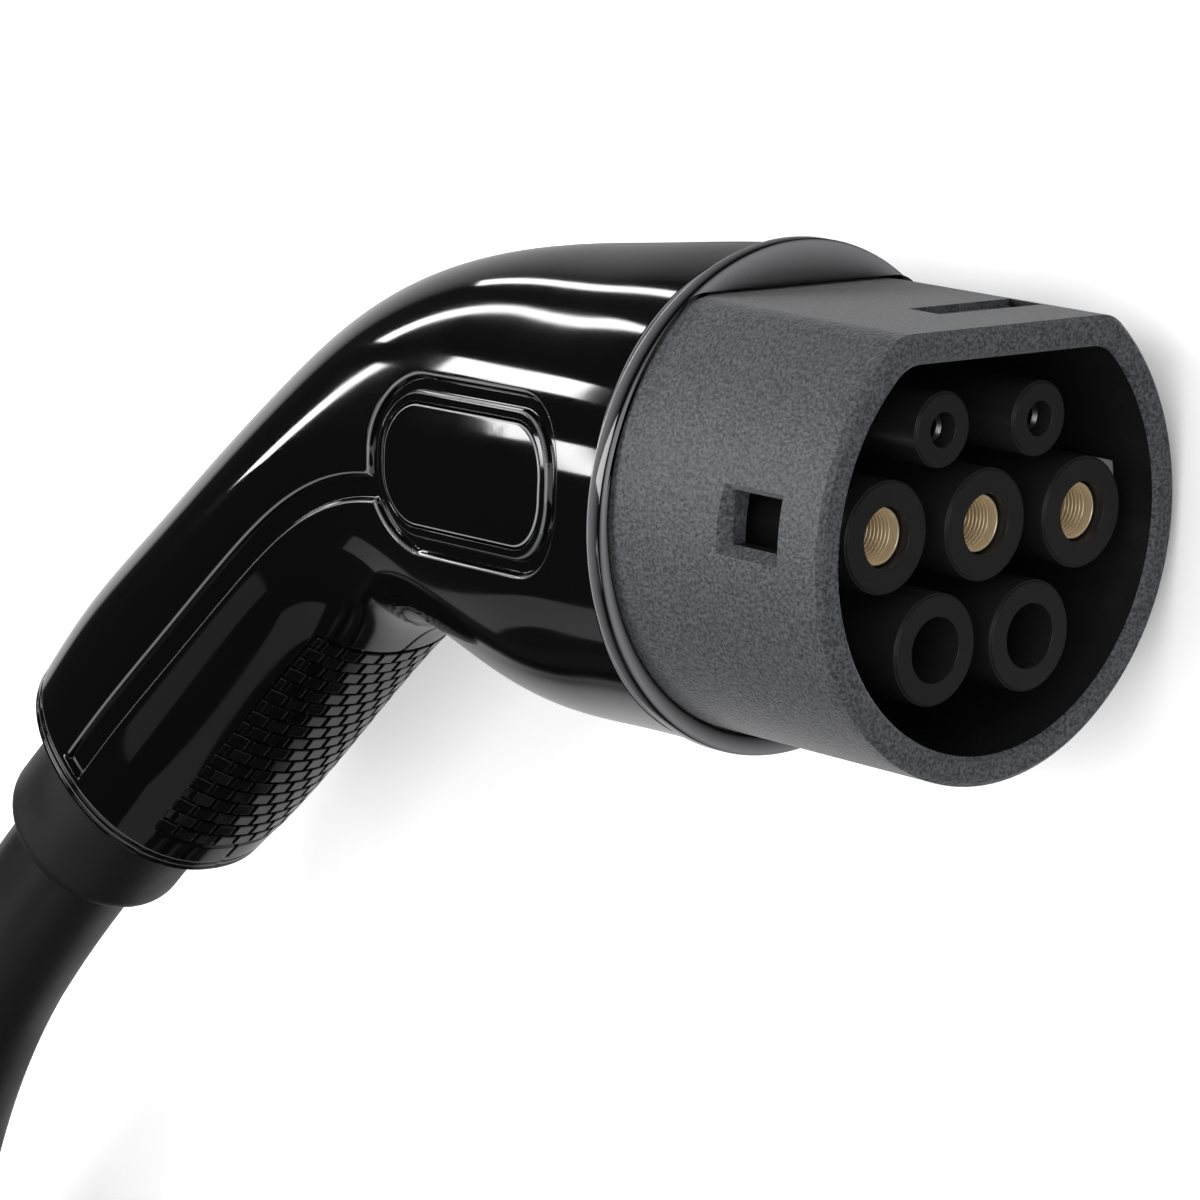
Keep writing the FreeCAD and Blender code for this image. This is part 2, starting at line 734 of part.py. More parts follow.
def make_clamp(side):
    """One saddle of the cable clamp, above or below the cable."""
    length = clamp_inner_end - clamp_outer_end
    block = Part.makeCylinder(cable_radius + clamp_wall, length, Vector(0, 0, -clamp_inner_end), Vector(0, 0, 1))
    ears = box((-clamp_gap - clamp_wall, -clamp_half_width, -clamp_inner_end),
               (clamp_gap + clamp_wall, clamp_half_width, -clamp_outer_end))
    block = block.fuse(ears).cut(Part.makeCylinder(cable_radius, 60, Vector(0, 0, -60), Vector(0, 0, 1)))
    keep = box((clamp_gap, -30, -60), (30, 30, 0)) if side > 0 else box((-30, -30, -60), (-clamp_gap, 30, 0))
    block = block.common(keep)
    middle = -(clamp_inner_end + clamp_outer_end) / 2
    for y in (-clamp_screw_y, clamp_screw_y):
        radius = screw_radius if side < 0 else screw_radius + 0.2
        block = block.cut(Part.makeCylinder(radius, 20, Vector(-10, y, middle), Vector(1, 0, 0)))
        seat = Vector(clamp_gap + clamp_wall, y, middle)
        block = block.cut(Part.makeCylinder(clamp_head + fit, 20, seat, Vector(1, 0, 0)))
    return in_handle(block)


def make_clamp_screws():
    """Two screws that pull the saddles together."""
    middle = -(clamp_inner_end + clamp_outer_end) / 2
    low, top = -clamp_gap - clamp_wall, clamp_gap + clamp_wall
    screws = []
    for y in (-clamp_screw_y, clamp_screw_y):
        shank = Part.makeCylinder(screw_radius, top - low, Vector(low, y, middle), Vector(1, 0, 0))
        head = Part.makeCylinder(clamp_head, clamp_head_height, Vector(top, y, middle), Vector(1, 0, 0))
        screws.append(in_handle(shank.fuse(head)))
    return Part.makeCompound(screws)


def lay_down(shape):
    """Turns a shape from the connector's frame onto its resting side."""
    moved = shape.copy()
    moved.Placement = FreeCAD.Placement(Vector(0, 0, 0), FreeCAD.Rotation(Vector(1, 0, 0), -90)).multiply(
        moved.Placement)
    return moved


def walk(start, steps):
    """Points reached from a start by a list of steps."""
    points = [start]
    for step in steps:
        points.append(points[-1] + Vector(*step))
    return points


def rounded_box_wire(centre, half_width, half_height, corner):
    """Rounded rectangle in a plane that holds the Z axis, X across and Z up."""
    edges = []
    w, h, c = half_width, half_height, corner
    spots = [((w, h - c), (w - c, h)), ((-w + c, h), (-w, h - c)), ((-w, -h + c), (-w + c, -h)),
             ((w - c, -h), (w, -h + c))]
    bulges = [(w - c, h - c, 1, 1), (-w + c, h - c, -1, 1), (-w + c, -h + c, -1, -1), (w - c, -h + c, 1, -1)]
    previous = None
    for (begin, finish), (bx, bz, sx, sz) in zip(spots, bulges):
        a = centre + Vector(begin[0], 0, begin[1])
        b = centre + Vector(finish[0], 0, finish[1])
        m = centre + Vector(bx + sx * c * math.sqrt(0.5), 0, bz + sz * c * math.sqrt(0.5))
        if previous is not None:
            edges.append(Part.LineSegment(previous, a).toShape())
        else:
            first = a
        edges.append(Part.Arc(a, m, b).toShape())
        previous = b
    edges.append(Part.LineSegment(previous, first).toShape())
    return Part.Wire(edges)


def coil_section(grow):
    """Outer shape of the wound turns in section, larger by grow."""
    middle = (coil_inner_turn + coil_outer_turn) / 2
    half_width = (coil_outer_turn - coil_inner_turn) / 2 + cable_radius
    half_height = coil_layers * cable_radius
    return rounded_box_wire(Vector(middle, 0, half_height), half_width + grow, half_height + grow,
                            cable_radius + grow)


def make_coil(centre):
    """Plain ring of the coil's outer shape, its lowest side at the centre's height."""
    ring = Part.Face(coil_section(0.0)).revolve(Vector(0, 0, 0), Vector(0, 0, 1), 360)
    ring.translate(centre)
    return ring


def make_ties(centre):
    """Straps round the wound turns."""
    straps = []
    for place in tie_places:
        face = Part.Face(coil_section(tie_thickness)).cut(Part.Face(coil_section(0.0)))
        strap = face.revolve(Vector(0, 0, 0), Vector(0, 0, 1), tie_width_angle)
        strap.rotate(Vector(0, 0, 0), Vector(0, 0, 1), place)
        strap.translate(centre)
        straps.append(strap)
    return Part.makeCompound(straps)


def make_plug(start):
    """Industrial mains plug on the far end: gland nut, body and pins, along X from the lead."""
    x, y, z = start
    nut_end, grip_end = x + plug_nut_length, x + plug_grip_end
    floor, end = x + plug_floor, x + plug_length
    gland = turned([(x, cable_radius), (x, plug_nut_radius - 3), (x + 4, plug_nut_radius),
                    (nut_end, plug_nut_radius), (nut_end, cable_radius)])
    body = turned([(nut_end, 0), (nut_end, plug_neck_radius), (nut_end + 6, plug_handle_radius),
                   (grip_end, plug_handle_radius), (grip_end + 6, plug_radius), (end, plug_radius),
                   (end, plug_radius - plug_wall), (floor, plug_radius - plug_wall), (floor, 0)])
    inside = x_cylinder(cable_radius, x, nut_end)
    pins = []
    for k in range(3):
        angle = math.radians(90 + 120 * k)
        pins.append(x_cylinder(plug_pin_radius, floor, end - 4, plug_pin_circle * math.cos(angle),
                               plug_pin_circle * math.sin(angle)))
    shapes = [gland, body, Part.makeCompound(pins), inside]
    for shape in shapes:
        shape.translate(Vector(0, y, z))
    return shapes


def build():
    """Makes every piece and writes one file for each."""
    pieces = {"shroud": make_shroud(), "contact_insert": make_carrier(), "contact_plate": make_plate(),
              "plate_screws": make_plate_screws()}
    for name, (y, z) in zip(("neutral", "earth", "line"), power_places()):
        pieces[name + "_contact"] = make_power_contact(y, z)
    for name, (y, z) in zip(("proximity", "pilot"), pilot_places()):
        pieces[name + "_contact"] = make_pilot_contact(y, z)
    for name, (y, z) in zip(("neutral", "earth", "line"), power_places()):
        pieces[name + "_core"] = make_core(y, z, power_back, power_wire, power_copper, *core_layout[name])
    for name, (y, z) in zip(("proximity", "pilot"), pilot_places()):
        pieces[name + "_core"] = make_core(y, z, pilot_back, pilot_wire, pilot_copper, *core_layout[name])
    pieces["coding_resistor"] = make_resistor()
    pieces["left_shell"], pieces["right_shell"] = make_shells()
    pieces["left_inlay"], pieces["right_inlay"] = make_inlays()
    pieces["housing_screws"] = make_housing_screws()
    pieces["collar"] = make_collar()
    pieces["cable_tail"] = make_cable_tail()
    pieces["clamp_top"] = make_clamp(1)
    pieces["clamp_bottom"] = make_clamp(-1)
    pieces["clamp_screws"] = make_clamp_screws()
    pieces = {name: lay_down(shape) for name, shape in pieces.items()}

    room = Part.makeCompound(list(pieces.values())).optimalBoundingBox()
    shift = Vector(-(room.XMin + room.XMax) / 2, -(room.YMin + room.YMax) / 2, -room.ZMin)
    size = (room.XLength, room.YLength, room.ZLength)
    print("shift", [round(v, 3) for v in shift], "box", [round(v, 2) for v in size])
    for shape in pieces.values():
        shape.translate(shift)

    along = [lay_down(Part.Vertex(handle_end.multVec(Vector(0, 0, reach)))).Point + shift
             for reach in (collar_length, collar_length + cable_first_run)]
    route = along[:1] + walk(along[1], cable_steps)
    print("cable route", [[round(c, 1) for c in point] for point in route])
    arrive = route[-1]
    turn = math.radians(coil_start)
    floor = tie_thickness
    centre = Vector(arrive.x - coil_outer_turn * math.cos(turn), arrive.y - coil_outer_turn * math.sin(turn), floor)
    coil = make_coil(centre)
    out = centre + Vector(0, -coil_outer_turn, (2 * coil_layers - 1) * cable_radius)
    lead = walk(out, lead_steps)
    print("lead route", [[round(c, 1) for c in point] for point in lead], "coil centre",
          [round(c, 1) for c in centre])
    pieces["cable"] = tube(route, cable_radius, "cable").cut(coil)
    pieces["cable_coil"] = coil
    pieces["coil_ties"] = make_ties(centre)
    gland, body, pins, inside = make_plug(lead[-1])
    pieces["cable_lead"] = tube(lead, cable_radius, "lead").fuse(inside).cut(coil)
    pieces["plug_gland"] = gland
    pieces["plug_body"] = body
    pieces["plug_pins"] = pins

    for name, shape in pieces.items():
        if not shape.isValid():
            print("not valid:", name)
        print(name, len(shape.Solids), "solids", round(shape.Volume / 1000, 2), "cm3")
        shape.exportStep("parts/" + name + ".step")


build()
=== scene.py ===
import math

import bmesh
import bpy
import numpy as np
from mathutils import Matrix, Quaternion, Vector
from mathutils.geometry import delaunay_2d_cdt
from mathutils.kdtree import KDTree


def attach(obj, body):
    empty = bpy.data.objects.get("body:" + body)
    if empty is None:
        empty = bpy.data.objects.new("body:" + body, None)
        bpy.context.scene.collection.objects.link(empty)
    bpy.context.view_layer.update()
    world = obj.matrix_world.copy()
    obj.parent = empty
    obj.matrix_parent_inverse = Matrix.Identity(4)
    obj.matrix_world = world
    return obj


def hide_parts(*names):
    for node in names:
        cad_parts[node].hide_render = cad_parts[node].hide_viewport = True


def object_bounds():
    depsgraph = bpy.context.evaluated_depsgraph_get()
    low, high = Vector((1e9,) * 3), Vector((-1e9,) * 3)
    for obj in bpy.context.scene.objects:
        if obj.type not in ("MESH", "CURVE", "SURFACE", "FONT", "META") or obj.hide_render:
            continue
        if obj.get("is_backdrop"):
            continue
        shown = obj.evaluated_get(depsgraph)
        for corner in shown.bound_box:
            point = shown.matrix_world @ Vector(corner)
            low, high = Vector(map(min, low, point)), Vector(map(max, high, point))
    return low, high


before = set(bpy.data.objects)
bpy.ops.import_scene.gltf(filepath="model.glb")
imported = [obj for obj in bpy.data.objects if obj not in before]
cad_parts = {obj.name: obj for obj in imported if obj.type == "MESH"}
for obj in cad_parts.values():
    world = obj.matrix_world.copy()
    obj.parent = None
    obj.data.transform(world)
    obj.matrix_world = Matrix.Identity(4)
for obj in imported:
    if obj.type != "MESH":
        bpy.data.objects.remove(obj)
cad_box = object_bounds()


# Camera. The connector lies on its side and the camera looks down on it at a slant, with the
# flat of the shroud turned up in the picture and the contact face turned to the right.
def placed(x, y, z):
    """Point of the upright connector, in mm, where it lies on the floor, in metres."""
    return Vector(((x + 101.087) / 1000, (z + 27.04) / 1000, (36.5 - y) / 1000))


view_angle = 10.8665
camera_place = placed(568.16, -616.89, 148.87)
scene = bpy.context.scene
camera = bpy.data.objects.new("camera", bpy.data.cameras.new("camera"))
scene.collection.objects.link(camera)
scene.camera = camera
camera.data.angle = math.radians(view_angle)
camera.data.clip_start = 0.05
camera.data.clip_end = 30.0
backwards = Vector((0.7103, 0.1882, 0.6783)).normalized()
rightwards = Vector((-0.1645, 0.9813, -0.0999)).cross(backwards).normalized()
upwards = backwards.cross(rightwards)
camera.matrix_world = Matrix.Translation(camera_place) @ Matrix(
    (rightwards, upwards, backwards)).transposed().to_4x4()


# Cable: heavy round charging cable in a black satin jacket, moulded into the collar at the
# handle's end. It bends down to the floor and the length that isn't used is wound into a coil of
# two turns side by side and three layers, and leaves it over the top for the plug.
cable_radius = 0.011
cable_exit = (-0.0917, -0.0531, 0.0365)
cable_points = [cable_exit, (-0.1086, -0.0709, 0.0365), (-0.1274, -0.0968, 0.0345),
                (-0.1437, -0.1289, 0.0295), (-0.1574, -0.1686, 0.0225), (-0.1662, -0.2138, 0.0165)]
coil_centre = Vector((-0.0267, -0.2697, 0.0))
coil_inner, coil_outer = 0.121, 0.143
coil_levels = (0.0125, 0.0345, 0.0565)
coil_start = 176.0
coil_step = 20.0
# degrees wound so far, radius and height: each turn crosses to its next place in an eighth of a turn
coil_places = np.array([
    (0, coil_outer, coil_levels[0]), (315, coil_outer, coil_levels[0]),
    (360, coil_inner, coil_levels[0]), (630, coil_inner, coil_levels[0]),
    (675, coil_inner, coil_levels[1]), (945, coil_inner, coil_levels[1]),
    (990, coil_outer, coil_levels[1]), (1214, coil_outer, coil_levels[1]),
    (1259, coil_outer, coil_levels[2]), (1304, coil_inner, coil_levels[2]),
    (1489, coil_inner, coil_levels[2]), (1534, coil_outer, coil_levels[2])])


def coil_point(wound, spread=1.0):
    """Point on the wound cable after so many degrees."""
    radius = np.interp(wound, coil_places[:, 0], coil_places[:, 1]) * spread
    height = np.interp(wound, coil_places[:, 0], coil_places[:, 2])
    angle = math.radians(coil_start + wound)
    return coil_centre + Vector((radius * math.cos(angle), radius * math.sin(angle), height))


coil_turned = coil_places[-1, 0]
coil_count = round(coil_turned / coil_step)
spread = 1 / math.cos(math.radians(coil_turned / coil_count / 2))
for k in range(coil_count + 1):
    widen = 1.0 if k in (0, coil_count) else spread
    cable_points.append(tuple(coil_point(coil_turned * k / coil_count, widen)))
cable_points += [(0.0173, -0.4127, 0.0555), (0.0613, -0.4127, 0.0425), (0.1053, -0.4127, 0.0310),
                 (0.1473, -0.4127, 0.0310), (0.1693, -0.4127, 0.0310)]

cable_curve = bpy.data.curves.new("cable", "CURVE")
cable_curve.dimensions = "3D"
cable_spline = cable_curve.splines.new("NURBS")
cable_spline.points.add(len(cable_points) - 1)
for point, place in zip(cable_spline.points, cable_points):
    point.co = (*place, 1.0)
cable_spline.order_u = 3
cable_spline.use_endpoint_u = True
cable_spline.resolution_u = 8
cable_curve.bevel_depth = cable_radius
cable_curve.bevel_resolution = 10
cable_curve.use_fill_caps = True
cable = bpy.data.objects.new("charging_cable", cable_curve)
scene.collection.objects.link(cable)


def new_material(name, colour, roughness, metallic=0.0, specular=0.5):
    """Material with its plain values set on the shader itself."""
    material = bpy.data.materials.new(name)
    material.use_nodes = True
    shader = material.node_tree.nodes["Principled BSDF"]
    shader.inputs["Base Color"].default_value = (*colour, 1.0)
    shader.inputs["Roughness"].default_value = roughness
    shader.inputs["Metallic"].default_value = metallic
    shader.inputs["Specular IOR Level"].default_value = specular
    return material


def add_noise(material, scale, detail=2.0):
    """Noise over the piece in the frame's own coordinates, scale in bumps a metre."""
    tree = material.node_tree
    place = tree.nodes.new("ShaderNodeTexCoord")
    noise = tree.nodes.new("ShaderNodeTexNoise")
    noise.inputs["Scale"].default_value = scale
    noise.inputs["Detail"].default_value = detail
    tree.links.new(place.outputs["Object"], noise.inputs["Vector"])
    return noise


def add_bump(material, noise, strength, depth):
    """Bump from a noise, after any bump that the material has."""
    tree = material.node_tree
    shader = tree.nodes["Principled BSDF"]
    bump = tree.nodes.new("ShaderNodeBump")
    bump.inputs["Strength"].default_value = strength
    bump.inputs["Distance"].default_value = depth
    tree.links.new(noise.outputs["Fac"], bump.inputs["Height"])
    if shader.inputs["Normal"].is_linked:
        tree.links.new(shader.inputs["Normal"].links[0].from_socket, bump.inputs["Normal"])
    tree.links.new(bump.outputs["Normal"], shader.inputs["Normal"])


def vary(material, noise, socket, low, high, start=0.35, end=0.65):
    """Lets a noise move one of the shader's values or colours between two ends."""
    tree = material.node_tree
    ramp = tree.nodes.new("ShaderNodeValToRGB")
    ramp.color_ramp.elements[0].position = start
    ramp.color_ramp.elements[1].position = end
    for element, value in zip(ramp.color_ramp.elements, (low, high)):
        element.color = (*value, 1.0) if isinstance(value, tuple) else (value, value, value, 1.0)
    tree.links.new(noise.outputs["Fac"], ramp.inputs["Fac"])
    tree.links.new(ramp.outputs["Color"], tree.nodes["Principled BSDF"].inputs[socket])


cable_jacket = new_material("cable_jacket", (0.0095, 0.0096, 0.0105), 0.42)
add_bump(cable_jacket, add_noise(cable_jacket, 2600), 0.25, 0.00004)
vary(cable_jacket, add_noise(cable_jacket, 60, 3.0), "Roughness", 0.36, 0.48)
cable.data.materials.append(cable_jacket)
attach(cable, "root")
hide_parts("cable", "cable_coil", "cable_lead")


# Coil ties: two woven straps drawn round the wound turns and closed on themselves. They keep
# the coil together and lie under it on the floor.
tie_thickness = 0.0014
tie_clearance = 0.0001
tie_width = math.radians(8.4)


def strap_outline(angle):
    """Closed outline round the turns at an angle of the coil, as (radius, height) points."""
    centres = []
    wound = (angle - coil_start) % 360
    while wound <= coil_turned:
        place = coil_point(wound) - coil_centre
        centres.append((math.hypot(place.x, place.y), place.z))
        wound += 360
    reach = cable_radius + tie_clearance
    around = [(r + reach * math.cos(t), z + reach * math.sin(t))
              for r, z in centres for t in np.linspace(0, 2 * math.pi, 48, endpoint=False)]
    hull = []
    ordered = sorted(around)
    for run in (ordered, ordered[::-1]):
        side = []
        for p in run:
            while len(side) > 1 and ((side[-1][0] - side[-2][0]) * (p[1] - side[-2][1])
                                     - (side[-1][1] - side[-2][1]) * (p[0] - side[-2][0])) <= 0:
                side.pop()
            side.append(p)
        hull += side[:-1]
    return hull


strap_black = new_material("strap_black", (0.016, 0.016, 0.018), 0.85)
weave = strap_black.node_tree.nodes.new("ShaderNodeTexWave")
weave.inputs["Scale"].default_value = 420
weave.inputs["Distortion"].default_value = 1.5
add_bump(strap_black, weave, 0.6, 0.0003)
ties = bmesh.new()
for tie_angle in (20.0, 200.0):
    outline = strap_outline(tie_angle)
    outer_line = []
    for i, (r, z) in enumerate(outline):
        before, after = outline[i - 1], outline[(i + 1) % len(outline)]
        normal = Vector((after[1] - before[1], before[0] - after[0])).normalized()
        outer_line.append((r + normal.x * tie_thickness, z + normal.y * tie_thickness))
    rows = []
    for side in (-1, -0.5, 0, 0.5, 1):
        angle = math.radians(tie_angle) + side * tie_width / 2
        across = Vector((math.cos(angle), math.sin(angle), 0))
        rows.append([[ties.verts.new(coil_centre + across * r + Vector((0, 0, max(z, tie_clearance))))
                      for r, z in line] for line in (outline, outer_line)])
    count = len(outline)
    for (a_in, a_out), (b_in, b_out) in zip(rows, rows[1:]):
        for i in range(count):
            j = (i + 1) % count
            ties.faces.new((a_out[i], b_out[i], b_out[j], a_out[j]))
            ties.faces.new((a_in[j], b_in[j], b_in[i], a_in[i]))
    for (ring_in, ring_out), flip in ((rows[0], False), (rows[-1], True)):
        for i in range(count):
            j = (i + 1) % count
            corners = (ring_in[i], ring_out[i], ring_out[j], ring_in[j])
            ties.faces.new(corners[::-1] if flip else corners)
bmesh.ops.recalc_face_normals(ties, faces=ties.faces)


def piece_from(work, name, material, node_names=(), smooth=40):
    """Turns a working mesh into a shown piece that rides on the one body."""
    mesh = bpy.data.meshes.new(name)
    work.to_mesh(mesh)
    work.free()
    piece = bpy.data.objects.new(name, mesh)
    scene.collection.objects.link(piece)
    mesh.materials.append(material)
    mesh.shade_smooth()
    mesh.set_sharp_from_angle(angle=math.radians(smooth))
    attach(piece, "root")
    if node_names:
        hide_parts(*node_names)
    return piece


coil_straps = piece_from(ties, "coil_straps", strap_black, ["coil_ties"])


# Mains plug on the far end: a clamping nut on the cable, a blue plug body with its pins inside
# a collar. They are turned shapes, moulded and screwed together, and lie on the floor.
def settle(piece):
    """Keeps what a piece's modifiers make as its mesh."""
    view = bpy.context.evaluated_depsgraph_get()
    made = bpy.data.meshes.new_from_object(piece.evaluated_get(view), depsgraph=view)
    piece.modifiers.clear()
    piece.data = made


def round_off(piece, width, sharp):
    """Rounds a piece's edges that are sharper than so many degrees."""
    bevel = piece.modifiers.new("round_edges", "BEVEL")
    bevel.width = width
    bevel.segments = 2
    bevel.limit_method = "ANGLE"
    bevel.angle_limit = math.radians(sharp)
    bevel.harden_normals = True
    settle(piece)


def softened(node, name, material, width, sharp=28.0):
    """Welded copy of a CAD node with its sharp edges rounded, shown in the node's place."""
    work = bmesh.new()
    work.from_mesh(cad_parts[node].data)
    bmesh.ops.remove_doubles(work, verts=work.verts, dist=2e-6)
    bmesh.ops.dissolve_limit(work, angle_limit=math.radians(0.6), verts=work.verts, edges=work.edges)
    piece = piece_from(work, name, material, [node], smooth=sharp)
    round_off(piece, width, sharp)
    return piece


plug_blue = new_material("plug_blue", (0.012, 0.06, 0.26), 0.4)
add_bump(plug_blue, add_noise(plug_blue, 1800), 0.3, 0.00005)
satin_black = new_material("satin_black", (0.02, 0.02, 0.021), 0.45)
add_bump(satin_black, add_noise(satin_black, 2200), 0.3, 0.00005)
brass = new_material("turned_brass", (0.87, 0.73, 0.49), 0.36, metallic=0.6)
vary(brass, add_noise(brass, 900, 3.0), "Roughness", 0.3, 0.44)
plug_gland = softened("plug_gland", "plug_nut", satin_black, 0.0008)
plug_body = softened("plug_body", "mains_plug_body", plug_blue, 0.0008)
plug_pins = softened("plug_pins", "mains_plug_pins", brass, 0.0006)


# Housing: two moulded halves in gloss black that meet on the middle plane. Each has a wide lip
# in front, a bent handle, a recessed band down its side, a moat round an oval inlay and a sunk
# field for the grip on the underside. They are screwed together from one side.
housing_rows = np.array([
    (-42.0, -1.6, 0.0, 35.5, 35.5), (-56.0, -2.3, 0.0, 32.7, 34.9), (-72.0, -4.0, 0.0, 29.9, 34.2),
    (-90.0, -4.2, 8.0, 26.9, 31.9), (-108.2, -5.5, 20.0, 23.9, 26.6), (-124.5, -12.8, 33.0, 21.7, 21.1),
    (-138.2, -24.8, 42.0, 20.8, 21.2), (-152.3, -38.7, 44.5, 20.5, 21.9), (-166.3, -52.2, 46.0, 20.3, 22.9),
    (-177.65, -64.2, 46.5, 19.5, 21.5)])
housing_wall = 2.4
oval_exponent = 2.2
oval_power = 2 / oval_exponent
row_points = np.vstack([2 * housing_rows[0] - housing_rows[1], housing_rows,
                        2 * housing_rows[-1] - housing_rows[-2]])


def row_at(position):
    """Rows of the housing at positions along its spine, on a uniform cubic B-spline."""
    position = np.clip(np.asarray(position, float), 0, len(housing_rows) - 1)
    span = np.minimum(position.astype(int), len(housing_rows) - 2)
    t = (position - span)[..., None]
    weights = ((1 - t) ** 3, 3 * t ** 3 - 6 * t ** 2 + 4, 3 * t + 3 * t ** 2 - 3 * t ** 3 + 1, t ** 3)
    return sum(w * row_points[span + i] for i, w in enumerate(weights)) / 6


fine_positions = np.linspace(0, len(housing_rows) - 1, 6001)
fine_rows = row_at(fine_positions)
fine_walked = np.concatenate([[0], np.cumsum(np.hypot(np.diff(fine_rows[:, 0]), np.diff(fine_rows[:, 1])))])
spine_length = fine_walked[-1]


def skin_point(along, angle, inset=0.0):
    """Points of the housing's outer face, in mm: along is measured on the spine from the front,
    angle in degrees is 90 on top, 180 on the near side and 270 underneath."""
    row = row_at(np.interp(along, fine_walked, fine_positions))
    turn = np.radians(angle)
    across = np.sign(np.cos(turn)) * np.abs(np.cos(turn)) ** oval_power * (row[..., 3] - inset)
    rise = np.sign(np.sin(turn)) * np.abs(np.sin(turn)) ** oval_power * (row[..., 4] - inset)
    tilt = np.radians(row[..., 2])
    return np.stack([row[..., 0] - np.sin(tilt) * rise, across, row[..., 1] + np.cos(tilt) * rise], -1)


def skin_normal(along, angle):
    """Outward normals of the smooth outer face."""
    behind, ahead = np.maximum(along - 0.15, 0), np.minimum(along + 0.15, spine_length)
    length = skin_point(ahead, angle) - skin_point(behind, angle)
    girth = skin_point(along, angle + 0.2) - skin_point(along, angle - 0.2)
    normal = np.cross(length, girth)
    return normal / np.linalg.norm(normal, axis=-1, keepdims=True)


def rise_from_spine(along, angle):
    """Height of a skin point over the spine, in the plane of the handle."""
    row = row_at(np.interp(along, fine_walked, fine_positions))
    turn = np.radians(angle)
    return np.sign(np.sin(turn)) * np.abs(np.sin(turn)) ** oval_power * row[..., 4]


inlay_size = (40.0, 17.4)
inlay_corner = 7.5
inlay_middle = (-76.9, -1.3)
inlay_tilt = math.radians(3.0)
inlay_gap = 0.22
inlay_thickness = 1.4
moat = (1.8, 4.1)
moat_depth = 1.0
band_width = 3.8
band_start, band_end = 56.0, spine_length - 4.0
end_grooves = (spine_length - 2.3, spine_length - 1.0)
groove_depth, groove_width = 0.22, 0.17
seam_depth, seam_width = 0.22, 0.35
grip_along = (95.5, 150.6)
grip_angle = 41.0
grip_depth = 0.42
grip_corner = 2.0
# mm round the skin to a degree, over the whole housing and under the grip
angle_scale, grip_scale = 0.46, 0.42
wall_run, pocket_run = 0.4, 0.12
# painted highlight lines along the edges: share of the wall's depth where they are brightest, and beside a
# groove
glint_peak = 0.17
groove_rim, groove_rim_width, groove_glint = 0.27, 0.13, 0.55


def oval_distance(x, z):
    """Distance outside the inlay's outline, seen from the side."""
    dx, dz = x - inlay_middle[0], z - inlay_middle[1]
    u = np.abs(dx * math.cos(inlay_tilt) + dz * math.sin(inlay_tilt)) - inlay_size[0] / 2 + inlay_corner
    v = np.abs(-dx * math.sin(inlay_tilt) + dz * math.cos(inlay_tilt)) - inlay_size[1] / 2 + inlay_corner
    return np.hypot(np.maximum(u, 0), np.maximum(v, 0)) + np.minimum(np.maximum(u, v), 0) - inlay_corner


def step(distance, run=wall_run):
    """0 outside and 1 inside an outline, with a rounded wall between."""
    t = np.clip(0.5 - distance / (2 * run), 0, 1)
    return t * t * (3 - 2 * t)


def band_distance(along, angle):
    """Distance outside the band that runs down the handle's side."""
    rise = rise_from_spine(along, angle)
    across = np.maximum(rise, -band_width - rise)
    return np.maximum(across, along - band_end)


def grip_distance(along, angle):
    """Distance outside the grip's field."""
    u = np.abs(along - sum(grip_along) / 2) - (grip_along[1] - grip_along[0]) / 2 + grip_corner
    v = (np.abs(angle - 270.0) - grip_angle) * grip_scale + grip_corner
    return np.hypot(np.maximum(u, 0), np.maximum(v, 0)) + np.minimum(np.maximum(u, v), 0) - grip_corner


def moulded_in(along, angle):
    """How far a place is inside the moat or the band, from 0 to 1."""
    point = skin_point(along, angle)
    oval = oval_distance(point[..., 0], point[..., 2])
    ring = np.maximum(oval - moat[1], moat[0] - oval)
    band = np.maximum(band_distance(along, angle), np.maximum(moat[0] - oval, band_start - along))
    return np.maximum(step(ring), step(band)), oval


def sunk(along, angle):
    """How deep the face lies under the smooth skin, in mm."""
    inside, oval = moulded_in(along, angle)
    depth = moat_depth * inside
    depth = np.maximum(depth, inlay_thickness * step(oval - inlay_gap, pocket_run))
    depth = np.maximum(depth, grip_depth * step(grip_distance(along, angle)))
    for groove in end_grooves:
        depth = depth + groove_depth * np.exp(-((along - groove) / groove_width) ** 2)
    from_seam = skin_point(along, angle)[..., 1]
    return depth + seam_depth * np.exp(-(from_seam / seam_width) ** 2)


def painted_edge_glint(along, angle):
    """Painted highlight lines: 1 on the rims of what is sunk in, 0 elsewhere."""
    inside, _ = moulded_in(along, angle)
    amount = np.where(along < band_end - 0.9, 1 - np.abs(inside - glint_peak) / glint_peak, 0.0)
    for groove in end_grooves:
        off_rim = (along - groove + groove_rim) / groove_rim_width
        amount = np.maximum(amount, groove_glint * np.exp(-off_rim ** 2))
    return np.clip(amount, 0, 1)


def sunk_point(along, angle):
    """Points of the outer face with all that is sunk into it."""
    return skin_point(along, angle) - skin_normal(along, angle) * sunk(along, angle)[..., None]


def side_place(x, z):
    """Where points of the side view lie on the skin: along the spine and angle."""
    low, high = np.zeros(len(x)), np.full(len(x), float(len(housing_rows) - 1))
    for _ in range(40):
        middle = (low + high) / 2
        row = row_at(middle)
        tilt = np.radians(row[:, 2])
        ahead = (x - row[:, 0]) * np.cos(tilt) + (z - row[:, 1]) * np.sin(tilt) > 0
        high = np.where(ahead, middle, high)
        low = np.where(ahead, low, middle)
    row = row_at(low)
    tilt = np.radians(row[:, 2])
    rise = -(x - row[:, 0]) * np.sin(tilt) + (z - row[:, 1]) * np.cos(tilt)
    share = np.clip(rise / row[:, 4], -1, 1)
    angle = 180 - np.degrees(np.arcsin(np.sign(share) * np.abs(share) ** (1 / oval_power)))
    return np.interp(low, fine_positions, fine_walked), angle


